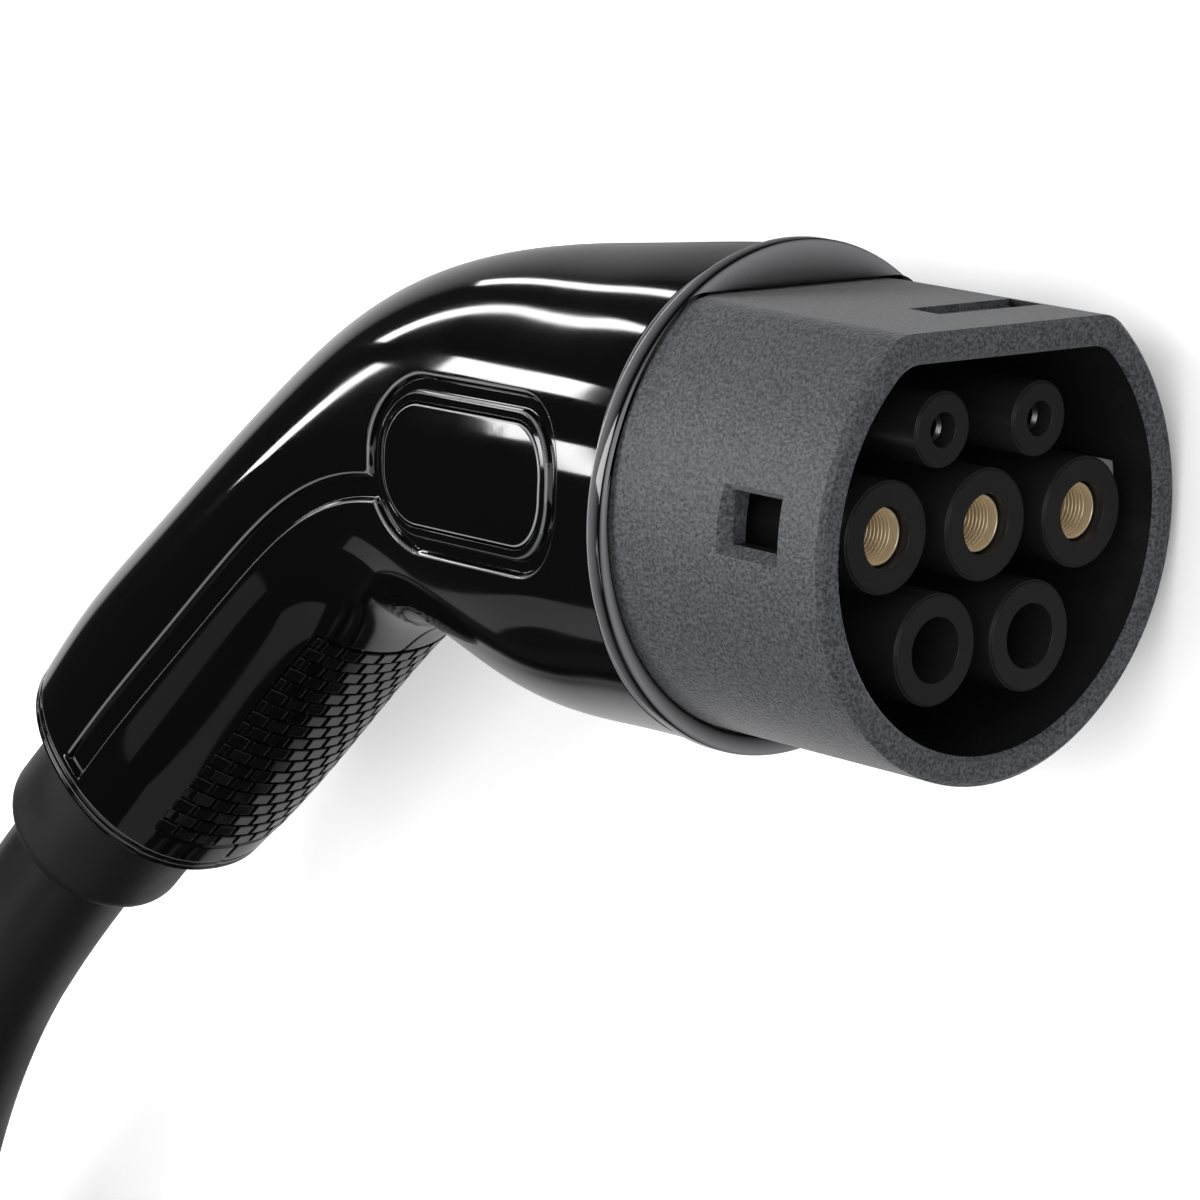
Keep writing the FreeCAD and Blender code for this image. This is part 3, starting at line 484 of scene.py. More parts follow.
def oval_shape(grow, spacing=0.5):
    """Points round the inlay's outline in its own plane, moved out by grow."""
    half_x, half_z = inlay_size[0] / 2 - inlay_corner, inlay_size[1] / 2 - inlay_corner
    radius = inlay_corner + grow
    corners = ((half_x, half_z), (-half_x, half_z), (-half_x, -half_z), (half_x, -half_z))
    points = []
    for turn, (cx, cz) in enumerate(corners):
        count = int(math.pi / 2 * (inlay_corner + 2) / spacing)
        for k in range(count + 1):
            a = math.pi / 2 * (turn + k / count)
            points.append((cx + radius * math.cos(a), cz + radius * math.sin(a)))
        following = corners[(turn + 1) % 4]
        last = points[-1]
        run = math.hypot(following[0] - cx, following[1] - cz)
        for k in range(1, int(run / spacing)):
            t = k / int(run / spacing)
            points.append((last[0] + (following[0] - cx) * t, last[1] + (following[1] - cz) * t))
    return np.array(points)


def on_skin(points):
    """Places on the skin of points given in the inlay's own plane."""
    x = inlay_middle[0] + points[:, 0] * math.cos(inlay_tilt) - points[:, 1] * math.sin(inlay_tilt)
    z = inlay_middle[1] + points[:, 0] * math.sin(inlay_tilt) + points[:, 1] * math.cos(inlay_tilt)
    return side_place(x, z)


# places on the near half where the mesh is fine: rows beside every wall of what is sunk
wall_offsets = (-0.55, -0.4, -0.28, -0.16, -0.05, 0.05, 0.14, 0.22, 0.3, 0.4, 0.55)
fine_places = []
for edge in (inlay_gap, moat[0], moat[1]):
    for offset in wall_offsets:
        fine_places.append(np.stack(on_skin(oval_shape(edge + offset)), -1))
band_along = np.arange(50.0, band_end + 0.7, 0.5)
for edge, way in ((0.0, 1), (-band_width, -1)):
    for offset in wall_offsets:
        row = row_at(np.interp(band_along, fine_walked, fine_positions))
        share = (edge + way * offset) / row[:, 4]
        angle = 180 - np.degrees(np.arcsin(np.sign(share) * np.abs(share) ** (1 / oval_power)))
        line = np.stack([band_along, angle], -1)
        point = skin_point(line[:, 0], line[:, 1])
        keep = (oval_distance(point[:, 0], point[:, 2]) > moat[1] + 0.7) & (point[:, 0] < inlay_middle[0])
        fine_places.append(line[keep & (np.abs(line[:, 0] - band_end) > 0.5)])
for offset in wall_offsets:
    angles = np.arange(180.0, 192.0, 1.0)
    fine_places.append(np.stack([np.full(len(angles), band_end + offset), angles], -1))
for offset in wall_offsets:
    angles = np.arange(270 - grip_angle + 4, 270.0, 1.2)
    for edge, way in ((grip_along[0], -1), (grip_along[1], 1)):
        fine_places.append(np.stack([np.full(len(angles), edge + way * offset), angles], -1))
    runs = np.arange(grip_along[0] + 1.5, grip_along[1] - 1.4, 0.6)
    fine_places.append(np.stack([runs, np.full(len(runs), 270 - grip_angle - offset / grip_scale)], -1))
for offset in (0.12, 0.25, 0.4, 0.6, 0.9):
    for edge, way in ((90.0, 1), (270.0, -1)):
        row = row_at(np.interp(band_along, fine_walked, fine_positions))
        lean = np.degrees(np.arccos((offset / row[:, 3]) ** (1 / oval_power)))
        fine_places.append(np.stack([band_along, edge + way * (90 - lean)], -1))
fine_places = np.vstack(fine_places)

front_start, rear_end = 1.9, spine_length - 0.55
end_zone = 3.0
mesh_gap = 0.42
stations = np.unique(np.round(np.concatenate([
    np.arange(front_start, band_end, 1.5), [rear_end],
    np.arange(band_end, rear_end - 0.05, 0.12)]), 2))
angle_count = 109
angles = np.linspace(90.0, 270.0, angle_count)
tree = KDTree(len(fine_places))
for i, (s, a) in enumerate(fine_places):
    tree.insert((s, a * angle_scale, 0), i)
tree.balance()
coarse = [(s, a) for s in stations[1:-1] for a in angles[1:-1]
          if tree.find((s, a * angle_scale, 0))[2] > mesh_gap or s > spine_length - end_zone]
edge_places = [(s, 90.0) for s in stations] + [(s, 270.0) for s in stations]
edge_places += [(stations[0], a) for a in angles[1:-1]] + [(stations[-1], a) for a in angles[1:-1]]
inside = (fine_places[:, 1] > 90.02) & (fine_places[:, 1] < 269.98)
inside &= fine_places[:, 0] < spine_length - 2.9
places = np.vstack([np.array(edge_places), fine_places[inside], np.array(coarse)])
flat = [Vector((s, a * angle_scale)) for s, a in places]
mesh_points, _, triangles, *_ = delaunay_2d_cdt(flat, [], [], 0, 1e-5)
grid = np.array([(p.x, p.y / angle_scale) for p in mesh_points])

# rows of the lip in front and of the end wall behind, and of the inner face
lip_middle = -1.6
lip_radius = 36.5


def circle_row(x, radius):
    """Round row of the lip."""
    turn = np.radians(angles)
    rise = lip_middle + radius * np.sin(turn)
    return np.stack([np.full(angle_count, x), radius * np.cos(turn), rise], -1)


def d_outline(radius, flat_height, corner):
    """Half of the shroud's outline from the top round to the bottom, as (y, z) points."""
    side = math.sqrt((radius - corner) ** 2 - (flat_height - corner) ** 2)
    corner_start = math.atan2(flat_height - corner, side)
    line = [(-side * t, flat_height) for t in np.linspace(0, 1, 24, endpoint=False)]
    line += [(-side - corner * math.sin(t), flat_height - corner + corner * math.cos(t))
             for t in np.linspace(0, math.pi / 2 - corner_start, 12, endpoint=False)]
    line += [(-radius * math.cos(t), radius * math.sin(t))
             for t in np.linspace(corner_start, -math.pi / 2, 73)]
    return np.array(line)


def d_row(x, radius, flat_height, corner=6.0):
    """Row with the shroud's outline."""
    line = d_outline(radius, flat_height, corner)
    return np.column_stack([np.full(len(line), x), line])


def hole_row(back, radius):
    """Row round the cable's hole, so far in from the housing's end."""
    end_x, end_z, end_tilt = housing_rows[-1, :3]
    tilt = math.radians(end_tilt)
    middle = np.array([end_x + back * math.cos(tilt), 0, end_z + back * math.sin(tilt)])
    turn = np.radians(angles)
    up = np.array([-math.sin(tilt), 0, math.cos(tilt)])
    return middle + np.outer(radius * np.sin(turn), up) + np.outer(radius * np.cos(turn), (0, 1, 0))


def skin_row(along, inset=0.0):
    """Row of the outer face, so far along the spine and moved in by inset."""
    return skin_point(np.full(angle_count, along), angles, inset)


inner_start, inner_end = 3.0, spine_length - 2.8
inner_stations = stations[(stations > inner_start) & (stations < inner_end)][::-1]
front_rows = [skin_row(1.75, 0.04), skin_row(1.62, 0.15), skin_row(1.55, 0.35), skin_row(1.5, 0.7),
              skin_row(1.2, 0.7), circle_row(-43.2, 35.85), circle_row(-43.16, 36.12),
              circle_row(-43.04, 36.33), circle_row(-42.84, 36.46), circle_row(-42.58, lip_radius),
              circle_row(-40.75, lip_radius), circle_row(-40.42, 36.43), circle_row(-40.15, 36.25),
              circle_row(-40.0, 35.95),
              d_row(-40.0, 35.4, 28.7), d_row(-40.25, 35.1, 28.4), d_row(-42.2, 35.1, 28.4),
              d_row(-42.2, 31.6, 24.6), d_row(-45.0, 31.6, 24.6), d_row(-45.0, 32.4, 25.4)]
back_rows = [skin_row(spine_length - 0.25), skin_row(spine_length - 0.02, 0.22),
             skin_row(spine_length, 0.55), hole_row(0.0, 15.7), hole_row(0.35, 15.3),
             hole_row(2.7, 15.3), skin_row(spine_length - 2.7, housing_wall)]
inner_rows = [skin_row(s, housing_wall) for s in inner_stations]
# how bright the painted highlight is on the front rows, on the rims of the lip and of the groove behind it
front_glint = {1: 1.0, 2: 0.5, 7: 0.6, 8: 1.0, 9: 0.4, 12: 0.5, 13: 0.7}
row_glint = [0.0] * (len(back_rows) + len(inner_rows))
row_glint += [front_glint.get(k, 0.0) for k in reversed(range(len(front_rows)))]

gloss_black = new_material("gloss_black", (0.0018, 0.0018, 0.002), 0.06)
add_bump(gloss_black, add_noise(gloss_black, 130, 1.0), 0.06, 0.00008)
vary(gloss_black, add_noise(gloss_black, 45, 5.0), "Roughness", 0.04, 0.085)
tree = gloss_black.node_tree
# painted highlight: the edge attribute turns the gloss's base colour light grey on the rims
glint_amount = tree.nodes.new("ShaderNodeAttribute")
glint_amount.attribute_name = "edge"
shine = tree.nodes.new("ShaderNodeValToRGB")
shine.color_ramp.elements[0].color = (0.0018, 0.0018, 0.002, 1.0)
shine.color_ramp.elements[1].color = (0.3, 0.3, 0.31, 1.0)
tree.links.new(glint_amount.outputs["Fac"], shine.inputs["Fac"])
tree.links.new(shine.outputs["Color"], tree.nodes["Principled BSDF"].inputs["Base Color"])

skin_places = sunk_point(grid[:, 0], grid[:, 1])
seam = (np.abs(grid[:, 1] - 90) < 0.01) | (np.abs(grid[:, 1] - 270) < 0.01)
skin_places[seam, 1] = 0.0
finite = 0.06
step_along = sunk_point(grid[:, 0] + finite, grid[:, 1]) - sunk_point(grid[:, 0] - finite, grid[:, 1])
turn_step = finite / angle_scale
step_round = sunk_point(grid[:, 0], grid[:, 1] + turn_step) - sunk_point(grid[:, 0], grid[:, 1] - turn_step)
skin_normals = np.cross(step_along, step_round)
skin_normals /= np.linalg.norm(skin_normals, axis=1, keepdims=True)


def make_half(name, side, nodes):
    """One half of the housing as a closed shell. side is -1 for the near half."""
    points = list(skin_places)
    faces = [list(t) for t in triangles]
    lookup = {}
    for i, (s, a) in enumerate(grid):
        lookup[(round(s, 2), round(a, 2))] = i
    front = [lookup[(round(stations[0], 2), round(a, 2))] for a in angles]
    back = [lookup[(round(stations[-1], 2), round(a, 2))] for a in angles]
    rows = [back]
    edge = list(painted_edge_glint(grid[:, 0], grid[:, 1]))
    # each row carries its painted highlight in the edge attribute
    for row, glint_amount in zip(back_rows + inner_rows + front_rows[::-1], row_glint):
        rows.append(list(range(len(points), len(points) + len(row))))
        points += list(row)
        edge += [glint_amount] * len(row)
    rows.append(front)
    for one, two in zip(rows, rows[1:]):
        for j in range(angle_count - 1):
            faces.append([one[j], one[j + 1], two[j + 1], two[j]])
    for column, angle in ((0, 90.0), (-1, 270.0)):
        skin = [lookup[(round(s, 2), angle)] for s in stations]
        faces.append(skin + [row[column] for row in rows[1:-1]])
    places = np.array(points)
    rows_start = len(skin_places)
    places[rows_start:, 1] = np.minimum(places[rows_start:, 1], 0.0)
    if side > 0:
        places[:, 1] *= -1
    mesh = bpy.data.meshes.new(name)
    mesh.from_pydata([placed(*p) for p in places], [], faces)
    mesh.attributes.new("edge", "FLOAT", "POINT").data.foreach_set("value", edge)
    work = bmesh.new()
    work.from_mesh(mesh)
    bmesh.ops.recalc_face_normals(work, faces=work.faces)
    work.to_mesh(mesh)
    work.free()
    mesh.shade_smooth()
    mesh.set_sharp_from_angle(angle=math.radians(32))
    normals = np.zeros(len(mesh.loops) * 3, np.float32)
    mesh.corner_normals.foreach_get("vector", normals)
    normals = normals.reshape(-1, 3)
    exact = skin_normals * (1, side * -1, 1)
    exact = np.column_stack([exact[:, 0], exact[:, 2], -exact[:, 1]])
    corner_point = np.zeros(len(mesh.loops), np.int32)
    mesh.loops.foreach_get("vertex_index", corner_point)
    skin_corners = np.zeros(len(mesh.loops), bool)
    for polygon in mesh.polygons:
        if all(v < rows_start for v in polygon.vertices) and len(polygon.vertices) == 3:
            skin_corners[polygon.loop_start:polygon.loop_start + 3] = True
    normals[skin_corners] = exact[corner_point[skin_corners]]
    mesh.normals_split_custom_set(normals.tolist())
    half = bpy.data.objects.new(name, mesh)
    scene.collection.objects.link(half)
    mesh.materials.append(gloss_black)
    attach(half, "root")
    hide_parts(*nodes)


make_half("housing_left", -1, ["left_shell"])
make_half("housing_right", 1, ["right_shell"])


# Inlays: two oval plates of the housing's gloss plastic, pressed into the pockets in its sides.
# Their edges are rounded, and a narrow gap runs round each.
inlay_round = 0.35
inlay_rings = (0.0, 0.03, 0.08, 0.15, 0.24, 0.35, 0.6, 1.2, 2.4, 4.2, 6.2, 7.4)
inlay_flatness = 0.6
inlay_seat = 0.08
# depths on the plate's rounded edge that carry the painted highlight, and how bright it is
rim_depths, inlay_glint = (0.01, 0.15), 0.9


def make_inlay(name, side, node):
    """One oval plate as a closed solid that follows the skin. side is -1 for the near one."""
    tops = []
    for inset in inlay_rings:
        depth = inlay_round - math.sqrt(inlay_round ** 2 - max(inlay_round - inset, 0) ** 2)
        tops.append((oval_shape(-inset), depth))
    bottom = inlay_thickness - inlay_seat
    ring = oval_shape(-inlay_rings[-1])
    middle_line = np.column_stack([ring[:, 0], np.zeros(len(ring))])
    rows = [(middle_line, 0.0)] + tops[::-1]
    rows += [(oval_shape(-inset), bottom) for inset in (0.0, 2.4, 7.4)] + [(middle_line, bottom)]
    work = bmesh.new()
    rim = work.verts.layers.float.new("edge")
    rings = []
    for outline, depth in rows:
        along, angle = on_skin(outline)
        spots = skin_point(along, angle) - skin_normal(along, angle) * depth
        spots[:, 1] *= -side
        rings.append([work.verts.new(placed(*spot)) for spot in spots])
        for corner in rings[-1]:
            # painted highlight on the plate's rounded edge
            corner[rim] = inlay_glint if rim_depths[0] < depth < rim_depths[1] else 0.0
    for one, two in zip(rings, rings[1:]):
        for i in range(len(one)):
            j = (i + 1) % len(one)
            work.faces.new((one[i], one[j], two[j], two[i]))
    bmesh.ops.remove_doubles(work, verts=work.verts, dist=1e-7)
    bmesh.ops.recalc_face_normals(work, faces=work.faces)
    plate = piece_from(work, name, gloss_black, [node], smooth=50)
    # the plate is polished flatter than the skin round it
    x, y, z = skin_normal(*on_skin(np.zeros((1, 2))))[0] * (1, -side, 1)
    normals = np.zeros(len(plate.data.loops) * 3, np.float32)
    plate.data.corner_normals.foreach_get("vector", normals)
    normals = normals.reshape(-1, 3)
    face = normals @ np.array((x, z, -y)) > 0.93
    normals[face] = (1 - inlay_flatness) * normals[face] + inlay_flatness * np.array((x, z, -y))
    normals /= np.linalg.norm(normals, axis=1, keepdims=True)
    plate.data.normals_split_custom_set(normals.tolist())


make_inlay("left_oval_plate", -1, "left_inlay")
make_inlay("right_oval_plate", 1, "right_inlay")


# Grip: rows of small gloss tiles on the underside of the handle, moulded with the halves. They
# stand in the sunk field, staggered from row to row like bricks.
tile_rows = 18
tile_pitch = 3.0
tile_turn = 9.0
tile_gap = 0.62
tile_height = 0.62
tile_sunk = 0.2
tile_edge = 0.2
tile_start = 0.55
last_half_tile = 4.25


def skin_angle(along, turn):
    """Angle on the skin that lies so many degrees round from the bottom, seen along the handle."""
    row = row_at(np.interp(along, fine_walked, fine_positions))
    lean = math.radians(abs(turn))
    across, down = math.sin(lean) / row[3], math.cos(lean) / row[4]
    reach = (across ** oval_exponent + down ** oval_exponent) ** (-1 / oval_exponent)
    share = (reach * across) ** (oval_exponent / 2)
    return 270.0 - math.degrees(math.asin(min(share, 1.0)))


tile_spots, tile_lengths, tile_normals, tile_widths = [], [], [], []
for row_number in range(tile_rows):
    along = grip_along[0] + tile_start + tile_pitch * (row_number + 0.5)
    staggered = row_number % 2 == 0
    turns = [(k + 0.5) * tile_turn for k in range(4)] if staggered else [k * tile_turn for k in range(5)]
    if staggered:
        turns.append(last_half_tile * tile_turn)
    for turn in turns:
        angle = skin_angle(along, turn)
        spot, normal = skin_point(along, angle), skin_normal(along, angle)
        ahead = skin_point(along + 0.5, angle) - skin_point(along - 0.5, angle)
        beside = skin_point(along, skin_angle(along, turn - tile_turn / 2))
        width = (1 if turn == last_half_tile * tile_turn else 2) * np.linalg.norm(beside - spot) / 1000
        for side in ((-1, 1) if turn else (-1,)):
            flip = np.array((1, -side, 1))
            tile_spots.append(placed(*((spot - normal * tile_sunk) * flip)))
            for vector, store in ((normal, tile_normals), (ahead, tile_lengths)):
                x, y, z = vector * flip
                store.append(Vector((x, z, -y)).normalized())
            tile_widths.append(float(width))

tile_points = bpy.data.meshes.new("grip_points")
tile_points.from_pydata(tile_spots, [], [])
for name, values in (("tile_normal", tile_normals), ("tile_length", tile_lengths)):
    layer = tile_points.attributes.new(name, "FLOAT_VECTOR", "POINT")
    layer.data.foreach_set("vector", [c for value in values for c in value])
layer = tile_points.attributes.new("tile_width", "FLOAT", "POINT")
layer.data.foreach_set("value", tile_widths)


tile_sizes = {"Tile length": (tile_pitch - tile_gap) / 1000, "Tile gap": tile_gap / 1000,
              "Tile height": tile_height / 1000}
tree = bpy.data.node_groups.new("grip_tiles", "GeometryNodeTree")
tree.interface.new_socket("Geometry", in_out="INPUT", socket_type="NodeSocketGeometry")
for label, value in tile_sizes.items():
    socket = tree.interface.new_socket(label, in_out="INPUT", socket_type="NodeSocketFloat")
    socket.default_value = value
tree.interface.new_socket("Geometry", in_out="OUTPUT", socket_type="NodeSocketGeometry")
link, new_node = tree.links.new, tree.nodes.new
given, result = new_node("NodeGroupInput"), new_node("NodeGroupOutput")
cube = new_node("GeometryNodeMeshCube")
cube.inputs["Size"].default_value = (1.0, 1.0, 1.0)
turned_to = new_node("FunctionNodeAxesToRotation")
turned_to.primary_axis = "Z"
turned_to.secondary_axis = "X"
for label, axis in (("tile_normal", "Primary Axis"), ("tile_length", "Secondary Axis")):
    field = new_node("GeometryNodeInputNamedAttribute")
    field.data_type = "FLOAT_VECTOR"
    field.inputs["Name"].default_value = label
    link(field.outputs["Attribute"], turned_to.inputs[axis])
width = new_node("GeometryNodeInputNamedAttribute")
width.data_type = "FLOAT"
width.inputs["Name"].default_value = "tile_width"
less_gap = new_node("ShaderNodeMath")
less_gap.operation = "SUBTRACT"
link(width.outputs["Attribute"], less_gap.inputs[0])
link(given.outputs["Tile gap"], less_gap.inputs[1])
size = new_node("ShaderNodeCombineXYZ")
link(given.outputs["Tile length"], size.inputs["X"])
link(less_gap.outputs["Value"], size.inputs["Y"])
link(given.outputs["Tile height"], size.inputs["Z"])
scatter = new_node("GeometryNodeInstanceOnPoints")
link(given.outputs["Geometry"], scatter.inputs["Points"])
link(cube.outputs["Mesh"], scatter.inputs["Instance"])
link(turned_to.outputs["Rotation"], scatter.inputs["Rotation"])
link(size.outputs["Vector"], scatter.inputs["Scale"])
real = new_node("GeometryNodeRealizeInstances")
link(scatter.outputs["Instances"], real.inputs["Geometry"])
finish = new_node("GeometryNodeSetMaterial")
finish.inputs["Material"].default_value = gloss_black
link(real.outputs["Geometry"], finish.inputs["Geometry"])
link(finish.outputs["Geometry"], result.inputs["Geometry"])
grip_tiles = bpy.data.objects.new("grip_tiles", tile_points)
scene.collection.objects.link(grip_tiles)
maker = grip_tiles.modifiers.new("maker", "NODES")
maker.node_group = tree
for socket in tree.interface.items_tree:
    if socket.in_out == "INPUT" and socket.name in tile_sizes:
        maker[socket.identifier] = tile_sizes[socket.name]
settle(grip_tiles)
grip_tiles.data.shade_smooth()
grip_tiles.data.set_sharp_from_angle(angle=math.radians(60))
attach(grip_tiles, "root")
round_off(grip_tiles, tile_edge / 1000, sharp=30.0)


# Shroud: the matt grey D-shaped coupling shroud, moulded with a fine grain, with a square window
# in each side for the vehicle's locking pin and a stepped recess in its flat.
moulded_grey = new_material("moulded_grey", (0.051, 0.0525, 0.058), 0.5)
add_bump(moulded_grey, add_noise(moulded_grey, 1900, 2.0), 1.0, 0.0002)
vary(moulded_grey, add_noise(moulded_grey, 2100, 2.0), "Base Color",
     (0.024, 0.025, 0.028), (0.08, 0.082, 0.09))
grey_shader = moulded_grey.node_tree.nodes["Principled BSDF"]
grey_shader.inputs["Sheen Weight"].default_value = 0.22
grey_shader.inputs["Sheen Roughness"].default_value = 0.4
# painted shade: the faces inside the shroud's cavity get this much darker copy of the grey
shaded_inner_grey = new_material("moulded_grey_inside_shaded", (0.009, 0.009, 0.0095), 0.42)
add_bump(shaded_inner_grey, add_noise(shaded_inner_grey, 1800, 3.0), 0.35, 0.00008)
vary(shaded_inner_grey, add_noise(shaded_inner_grey, 300, 3.0), "Roughness", 0.36, 0.5)
shroud = softened("shroud", "coupling_shroud", moulded_grey, 0.0004)
shroud.data.materials.append(shaded_inner_grey)
mouth = placed(-1.2, 0, 0)
inner_reach = 0.02
# inward faces deep in the cavity take the darker copy, as painted shade
for polygon in shroud.data.polygons:
    outward = Vector((0, polygon.center.y - mouth.y, polygon.center.z - mouth.z))
    faces_in = polygon.normal.dot(outward) < -0.0001
    if faces_in and polygon.center.x < mouth.x and outward.length > inner_reach:
        polygon.material_index = 1


# Contact insert: a dark satin moulding with seven sleeves, pushed into the shroud from behind and
# held there by a plate with three screws.
insert_black = new_material("insert_black", (0.0125, 0.0125, 0.013), 0.38)
add_bump(insert_black, add_noise(insert_black, 2600, 2.0), 0.3, 0.00006)
vary(insert_black, add_noise(insert_black, 300, 4.0), "Roughness", 0.3, 0.42)
zinc = new_material("zinc_plated", (0.56, 0.57, 0.58), 0.32, metallic=1.0)
vary(zinc, add_noise(zinc, 700, 3.0), "Roughness", 0.25, 0.42)
softened("contact_insert", "contact_holder", insert_black, 0.0003)
softened("contact_plate", "contact_holding_plate", insert_black, 0.0002)
softened("plate_screws", "contact_plate_screws", zinc, 0.0001)


# Contacts: turned brass sockets with a stepped mouth for the pin and a crimp barrel behind, held
# in the insert by their shoulders. The three power sockets are alike, and so are the two pilots.
def turned(work, profile, y, z, steps=96):
    """Adds a closed shape turned round a line along the connector, from (x, radius) points."""
    rings = []
    for x, radius in profile:
        if radius == 0:
            rings.append([work.verts.new(placed(x, y, z))] * steps)
            continue
        rings.append([work.verts.new(placed(x, y + radius * math.cos(t), z + radius * math.sin(t)))
                      for t in np.linspace(0, 2 * math.pi, steps, endpoint=False)])
    for k in range(len(profile)):
        after = (k + 1) % len(profile)
        if profile[k][1] == 0 and profile[after][1] == 0:
            continue
        one, two = rings[k], rings[after]
        for i in range(steps):
            j = (i + 1) % steps
            corners = [one[i], one[j], two[j], two[i]]
            work.faces.new(list(dict.fromkeys(corners)))


tinned = new_material("tinned_copper", (0.3, 0.3, 0.31), 0.34, metallic=1.0)
vary(tinned, add_noise(tinned, 900, 3.0), "Roughness", 0.28, 0.42)
power_mouth = -4.5
power_profile = [(-58.0, 2.0), (-58.0, 4.0), (-57.8, 4.2), (-46.0, 4.2), (-46.0, 5.0),
                 (-42.5, 5.0), (-42.5, 4.0), (power_mouth - 0.25, 4.0), (power_mouth - 0.07, 3.95),
                 (power_mouth, 3.82), (power_mouth, 3.74), (power_mouth - 0.08, 3.68)]
radius, depth = 3.68, power_mouth - 1.6
bore_steps, step_rise, step_length = 8, 0.082, 0.6
for _ in range(bore_steps):
    power_profile += [(depth, radius), (depth - 0.04, radius - 0.04)]
    radius -= step_rise
    power_profile.append((depth - 0.07, radius))
    depth -= step_length
power_profile += [(power_mouth - 24.0, radius), (power_mouth - 25.6, 0), (-51.0, 0), (-51.0, 2.0)]
pilot_mouth = -5.2
pilot_profile = [(-56.0, 0.7), (-56.0, 2.4), (-55.9, 2.5), (-46.0, 2.5), (-46.0, 3.0),
                 (-42.5, 3.0), (-42.5, 2.1), (pilot_mouth - 0.1, 2.1), (pilot_mouth, 2.0),
                 (pilot_mouth - 0.5, 1.55), (pilot_mouth - 20.0, 1.55), (pilot_mouth - 20.8, 0),
                 (-49.0, 0), (-49.0, 0.7)]
for name, profile, y, z in (("neutral", power_profile, -19.2, 0.6), ("earth", power_profile, 0.0, 0.6),
                            ("line", power_profile, 19.2, 0.6), ("proximity", pilot_profile, -9.45, 14.4),
                            ("pilot", pilot_profile, 9.45, 14.4)):
    work = bmesh.new()
    turned(work, profile, y, z)
    bmesh.ops.recalc_face_normals(work, faces=work.faces)
    look = tinned if profile is pilot_profile else brass
    piece_from(work, name + "_socket", look, [name + "_contact"], smooth=35)


# Collar: the rubber sleeve between handle and cable, with its flange caught behind the housing's
# end wall. The cable is moulded into it.
rubber = new_material("black_rubber", (0.009, 0.0092, 0.01), 0.46)
add_bump(rubber, add_noise(rubber, 2000, 3.0), 0.4, 0.00006)
vary(rubber, add_noise(rubber, 90, 3.0), "Roughness", 0.4, 0.52)
softened("collar", "cable_collar", rubber, 0.0005)


# Inner parts: the cable's end, its clamp and screws, the insulated cores and the coding resistor.
# They are drawn in the housing before it is closed and keep their CAD shape.
def inner_plastic(name, colour, roughness=0.42):
    """Satin plastic of an inner part, with fine grain."""
    material = new_material(name, colour, roughness)
    add_bump(material, add_noise(material, 2400, 2.0), 0.25, 0.00004)
    vary(material, add_noise(material, 400, 3.0), "Roughness", roughness - 0.05, roughness + 0.06)
    return material


inner_looks = {"neutral_core": inner_plastic("core_blue", (0.02, 0.08, 0.4)),
               "earth_core": inner_plastic("core_green", (0.1, 0.35, 0.05)),
               "line_core": inner_plastic("core_brown", (0.16, 0.06, 0.03)),
               "proximity_core": inner_plastic("core_white", (0.6, 0.6, 0.58)),
               "pilot_core": inner_plastic("core_black", (0.02, 0.02, 0.02)),
               "coding_resistor": inner_plastic("resistor_body", (0.3, 0.45, 0.55), 0.3),
               "cable_tail": cable_jacket, "clamp_top": satin_black, "clamp_bottom": satin_black,
               "clamp_screws": zinc, "housing_screws": zinc}
for node, look in inner_looks.items():
    inner_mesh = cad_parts[node].data
    inner_mesh.materials.clear()
    inner_mesh.materials.append(look)


# Studio: a white floor that carries on to the horizon, soft light from all round, and flat lamps behind and
# beside the connector, which draw the bright lines on the gloss housing. The floor also shows gloss
# surfaces a painted reflection, and its glow has a painted shadow.
floor_work = bmesh.new()
bmesh.ops.create_grid(floor_work, x_segments=4, y_segments=4, size=3.0)
floor_mesh = bpy.data.meshes.new("studio_floor")
floor_work.to_mesh(floor_mesh)
floor_work.free()
floor = bpy.data.objects.new("studio_floor", floor_mesh)
scene.collection.objects.link(floor)
floor_white = new_material("floor_white", (0.85, 0.85, 0.85), 0.9, specular=0.0)
floor_mesh.materials.append(floor_white)


def by_ray(tree, ray, usual, seen):
    """Shows one shader to a kind of ray and another to the rest."""
    path = tree.nodes.new("ShaderNodeLightPath")
    mix = tree.nodes.new("ShaderNodeMixShader")
    for source, socket in ((path.outputs[ray], 0), (usual, 1), (seen, 2)):
        tree.links.new(source, mix.inputs[socket])
    return mix.outputs["Shader"]


tree = floor_white.node_tree
link, new_node = tree.links.new, tree.nodes.new
lit = tree.nodes["Principled BSDF"]
# painted shadow: the floor's glow is darkened by ambient occlusion under and close beside the connector
glow = new_node("ShaderNodeEmission")
glow.inputs["Strength"].default_value = 0.42
glow_shadow = new_node("ShaderNodeAmbientOcclusion")
glow_shadow.inputs["Distance"].default_value = 0.022
glow_shadow.samples = 6
link(glow_shadow.outputs["Color"], glow.inputs["Color"])
with_glow = new_node("ShaderNodeAddShader")
link(lit.outputs["BSDF"], with_glow.inputs[0])
link(glow.outputs["Emission"], with_glow.inputs[1])
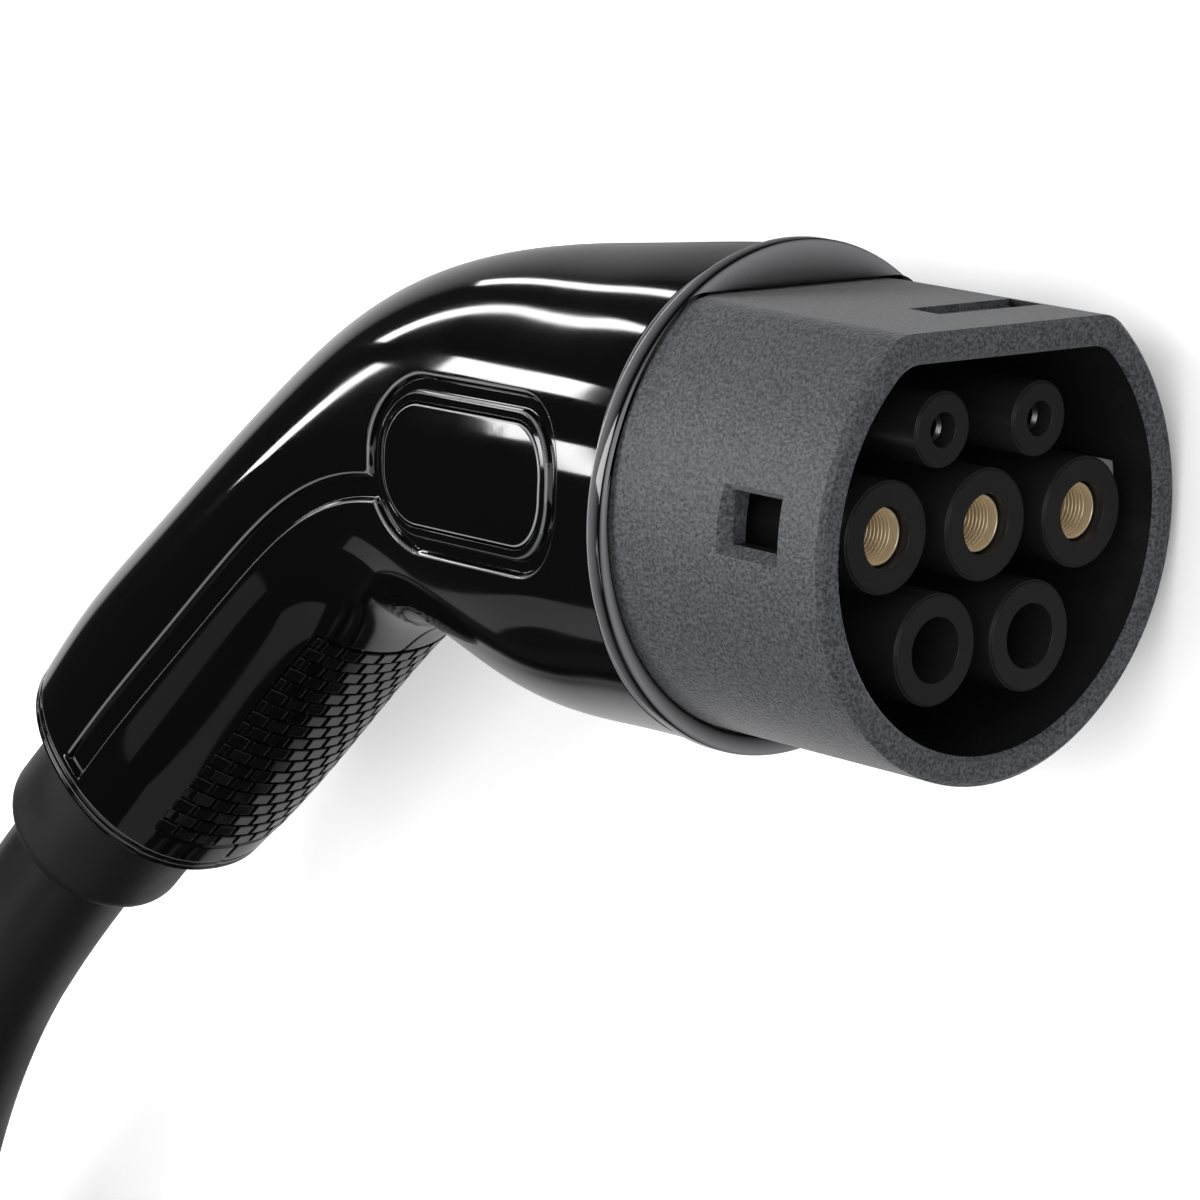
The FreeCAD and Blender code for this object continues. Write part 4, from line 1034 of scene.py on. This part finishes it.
# gloss surfaces see a painted reflection: the floor glows white to them near the connector, and it falls
# off further away
place = new_node("ShaderNodeTexCoord")
centre = new_node("ShaderNodeMapping")
centre.vector_type = "TEXTURE"
centre.inputs["Location"].default_value = (-0.15, -0.04, 0.0)
centre.inputs["Scale"].default_value = (0.3, 0.18, 1.0)
fall = new_node("ShaderNodeTexGradient")
fall.gradient_type = "SPHERICAL"
ramp = new_node("ShaderNodeValToRGB")
ramp.color_ramp.elements[0].color = (0.03, 0.03, 0.03, 1.0)
ramp.color_ramp.elements[1].position = 0.5
ramp.color_ramp.elements[1].color = (0.85, 0.85, 0.85, 1.0)
painted_reflection = new_node("ShaderNodeEmission")
link(place.outputs["Object"], centre.inputs["Vector"])
link(centre.outputs["Vector"], fall.inputs["Vector"])
link(fall.outputs["Fac"], ramp.inputs["Fac"])
# painted shadow: ambient occlusion darkens that glow close to the connector
shade = new_node("ShaderNodeAmbientOcclusion")
shade.inputs["Distance"].default_value = 0.06
shade.samples = 8
link(ramp.outputs["Color"], shade.inputs["Color"])
link(shade.outputs["Color"], painted_reflection.inputs["Color"])
for_gloss = by_ray(tree, "Is Glossy Ray", lit.outputs["BSDF"], painted_reflection.outputs["Emission"])
for_camera = by_ray(tree, "Is Camera Ray", for_gloss, with_glow.outputs["Shader"])
link(for_camera, tree.nodes["Material Output"].inputs["Surface"])
floor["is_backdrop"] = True

world = bpy.data.worlds.new("studio")
scene.world = world
world.use_nodes = True
tree = world.node_tree
soft = tree.nodes["Background"]
soft.inputs["Color"].default_value = (1.0, 1.0, 1.0, 1.0)
soft.inputs["Strength"].default_value = 0.8
dim = tree.nodes.new("ShaderNodeBackground")
dim.inputs["Strength"].default_value = 0.025
white = tree.nodes.new("ShaderNodeBackground")
white.inputs["Color"].default_value = (1.0, 1.0, 1.0, 1.0)
for_gloss = by_ray(tree, "Is Glossy Ray", soft.outputs["Background"], dim.outputs["Background"])
for_camera = by_ray(tree, "Is Camera Ray", for_gloss, white.outputs["Background"])
tree.links.new(for_camera, tree.nodes["World Output"].inputs["Surface"])


lamp_centre = Vector((0.0, 0.05, 0.05))


def lamp(name, azimuth, elevation, distance, wide, high, radiance, roll=0.0):
    """Flat lamp in a direction from the connector, facing it and hidden from the camera. Its
    size is given in degrees, as seen from the connector."""
    light = bpy.data.lights.new(name, "AREA")
    light.shape = "RECTANGLE"
    light.size = distance * math.radians(wide)
    light.size_y = distance * math.radians(high)
    light.energy = radiance * light.size * light.size_y * math.pi
    holder = bpy.data.objects.new(name, light)
    scene.collection.objects.link(holder)
    turn, lift = math.radians(azimuth), math.radians(elevation)
    way = Vector((math.cos(turn) * math.cos(lift), math.sin(turn) * math.cos(lift), math.sin(lift)))
    holder.location = lamp_centre + way * distance
    rolled = (-way).to_track_quat("-Z", "Y") @ Quaternion((0, 0, 1), math.radians(roll))
    holder.rotation_euler = rolled.to_euler()
    holder.visible_camera = False


lamp("low_strip", 140, -16, 0.16, 22, 4, 8)
lamp("top_strip", 155.5, 1.8, 0.9, 16, 3.4, 12, roll=14)
lamp("oval_light", 163, 23.2, 0.22, 6, 3, 15, roll=28)
lamp("handle_light", 177, 15, 0.3, 17, 3, 13)
lamp("flange_light", 185.3, 31.4, 0.22, 8, 1.6, 14, roll=8)
lamp("shroud_light", 158, 60, 1.0, 28, 22, 10)
lamp("band_light", 230, 54, 0.9, 22, 8, 3)
lamp("side_panel", 256, 24, 0.9, 15, 20, 0.26)
lamp("rear_panel", 222, 42, 0.9, 12, 5, 0.22)
lamp("under_panel", 215, 8, 0.9, 6, 16, 0.3)
lamp("key_panel", 20, 52, 1.2, 43, 43, 1.5)
lamp("front_fill", -4, 16, 1.0, 20, 20, 1.6)

scene.view_settings.view_transform = "Standard"
size = {"cad_box": [list(corner) for corner in cad_box],
        "visual_box": [list(corner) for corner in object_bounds()]}
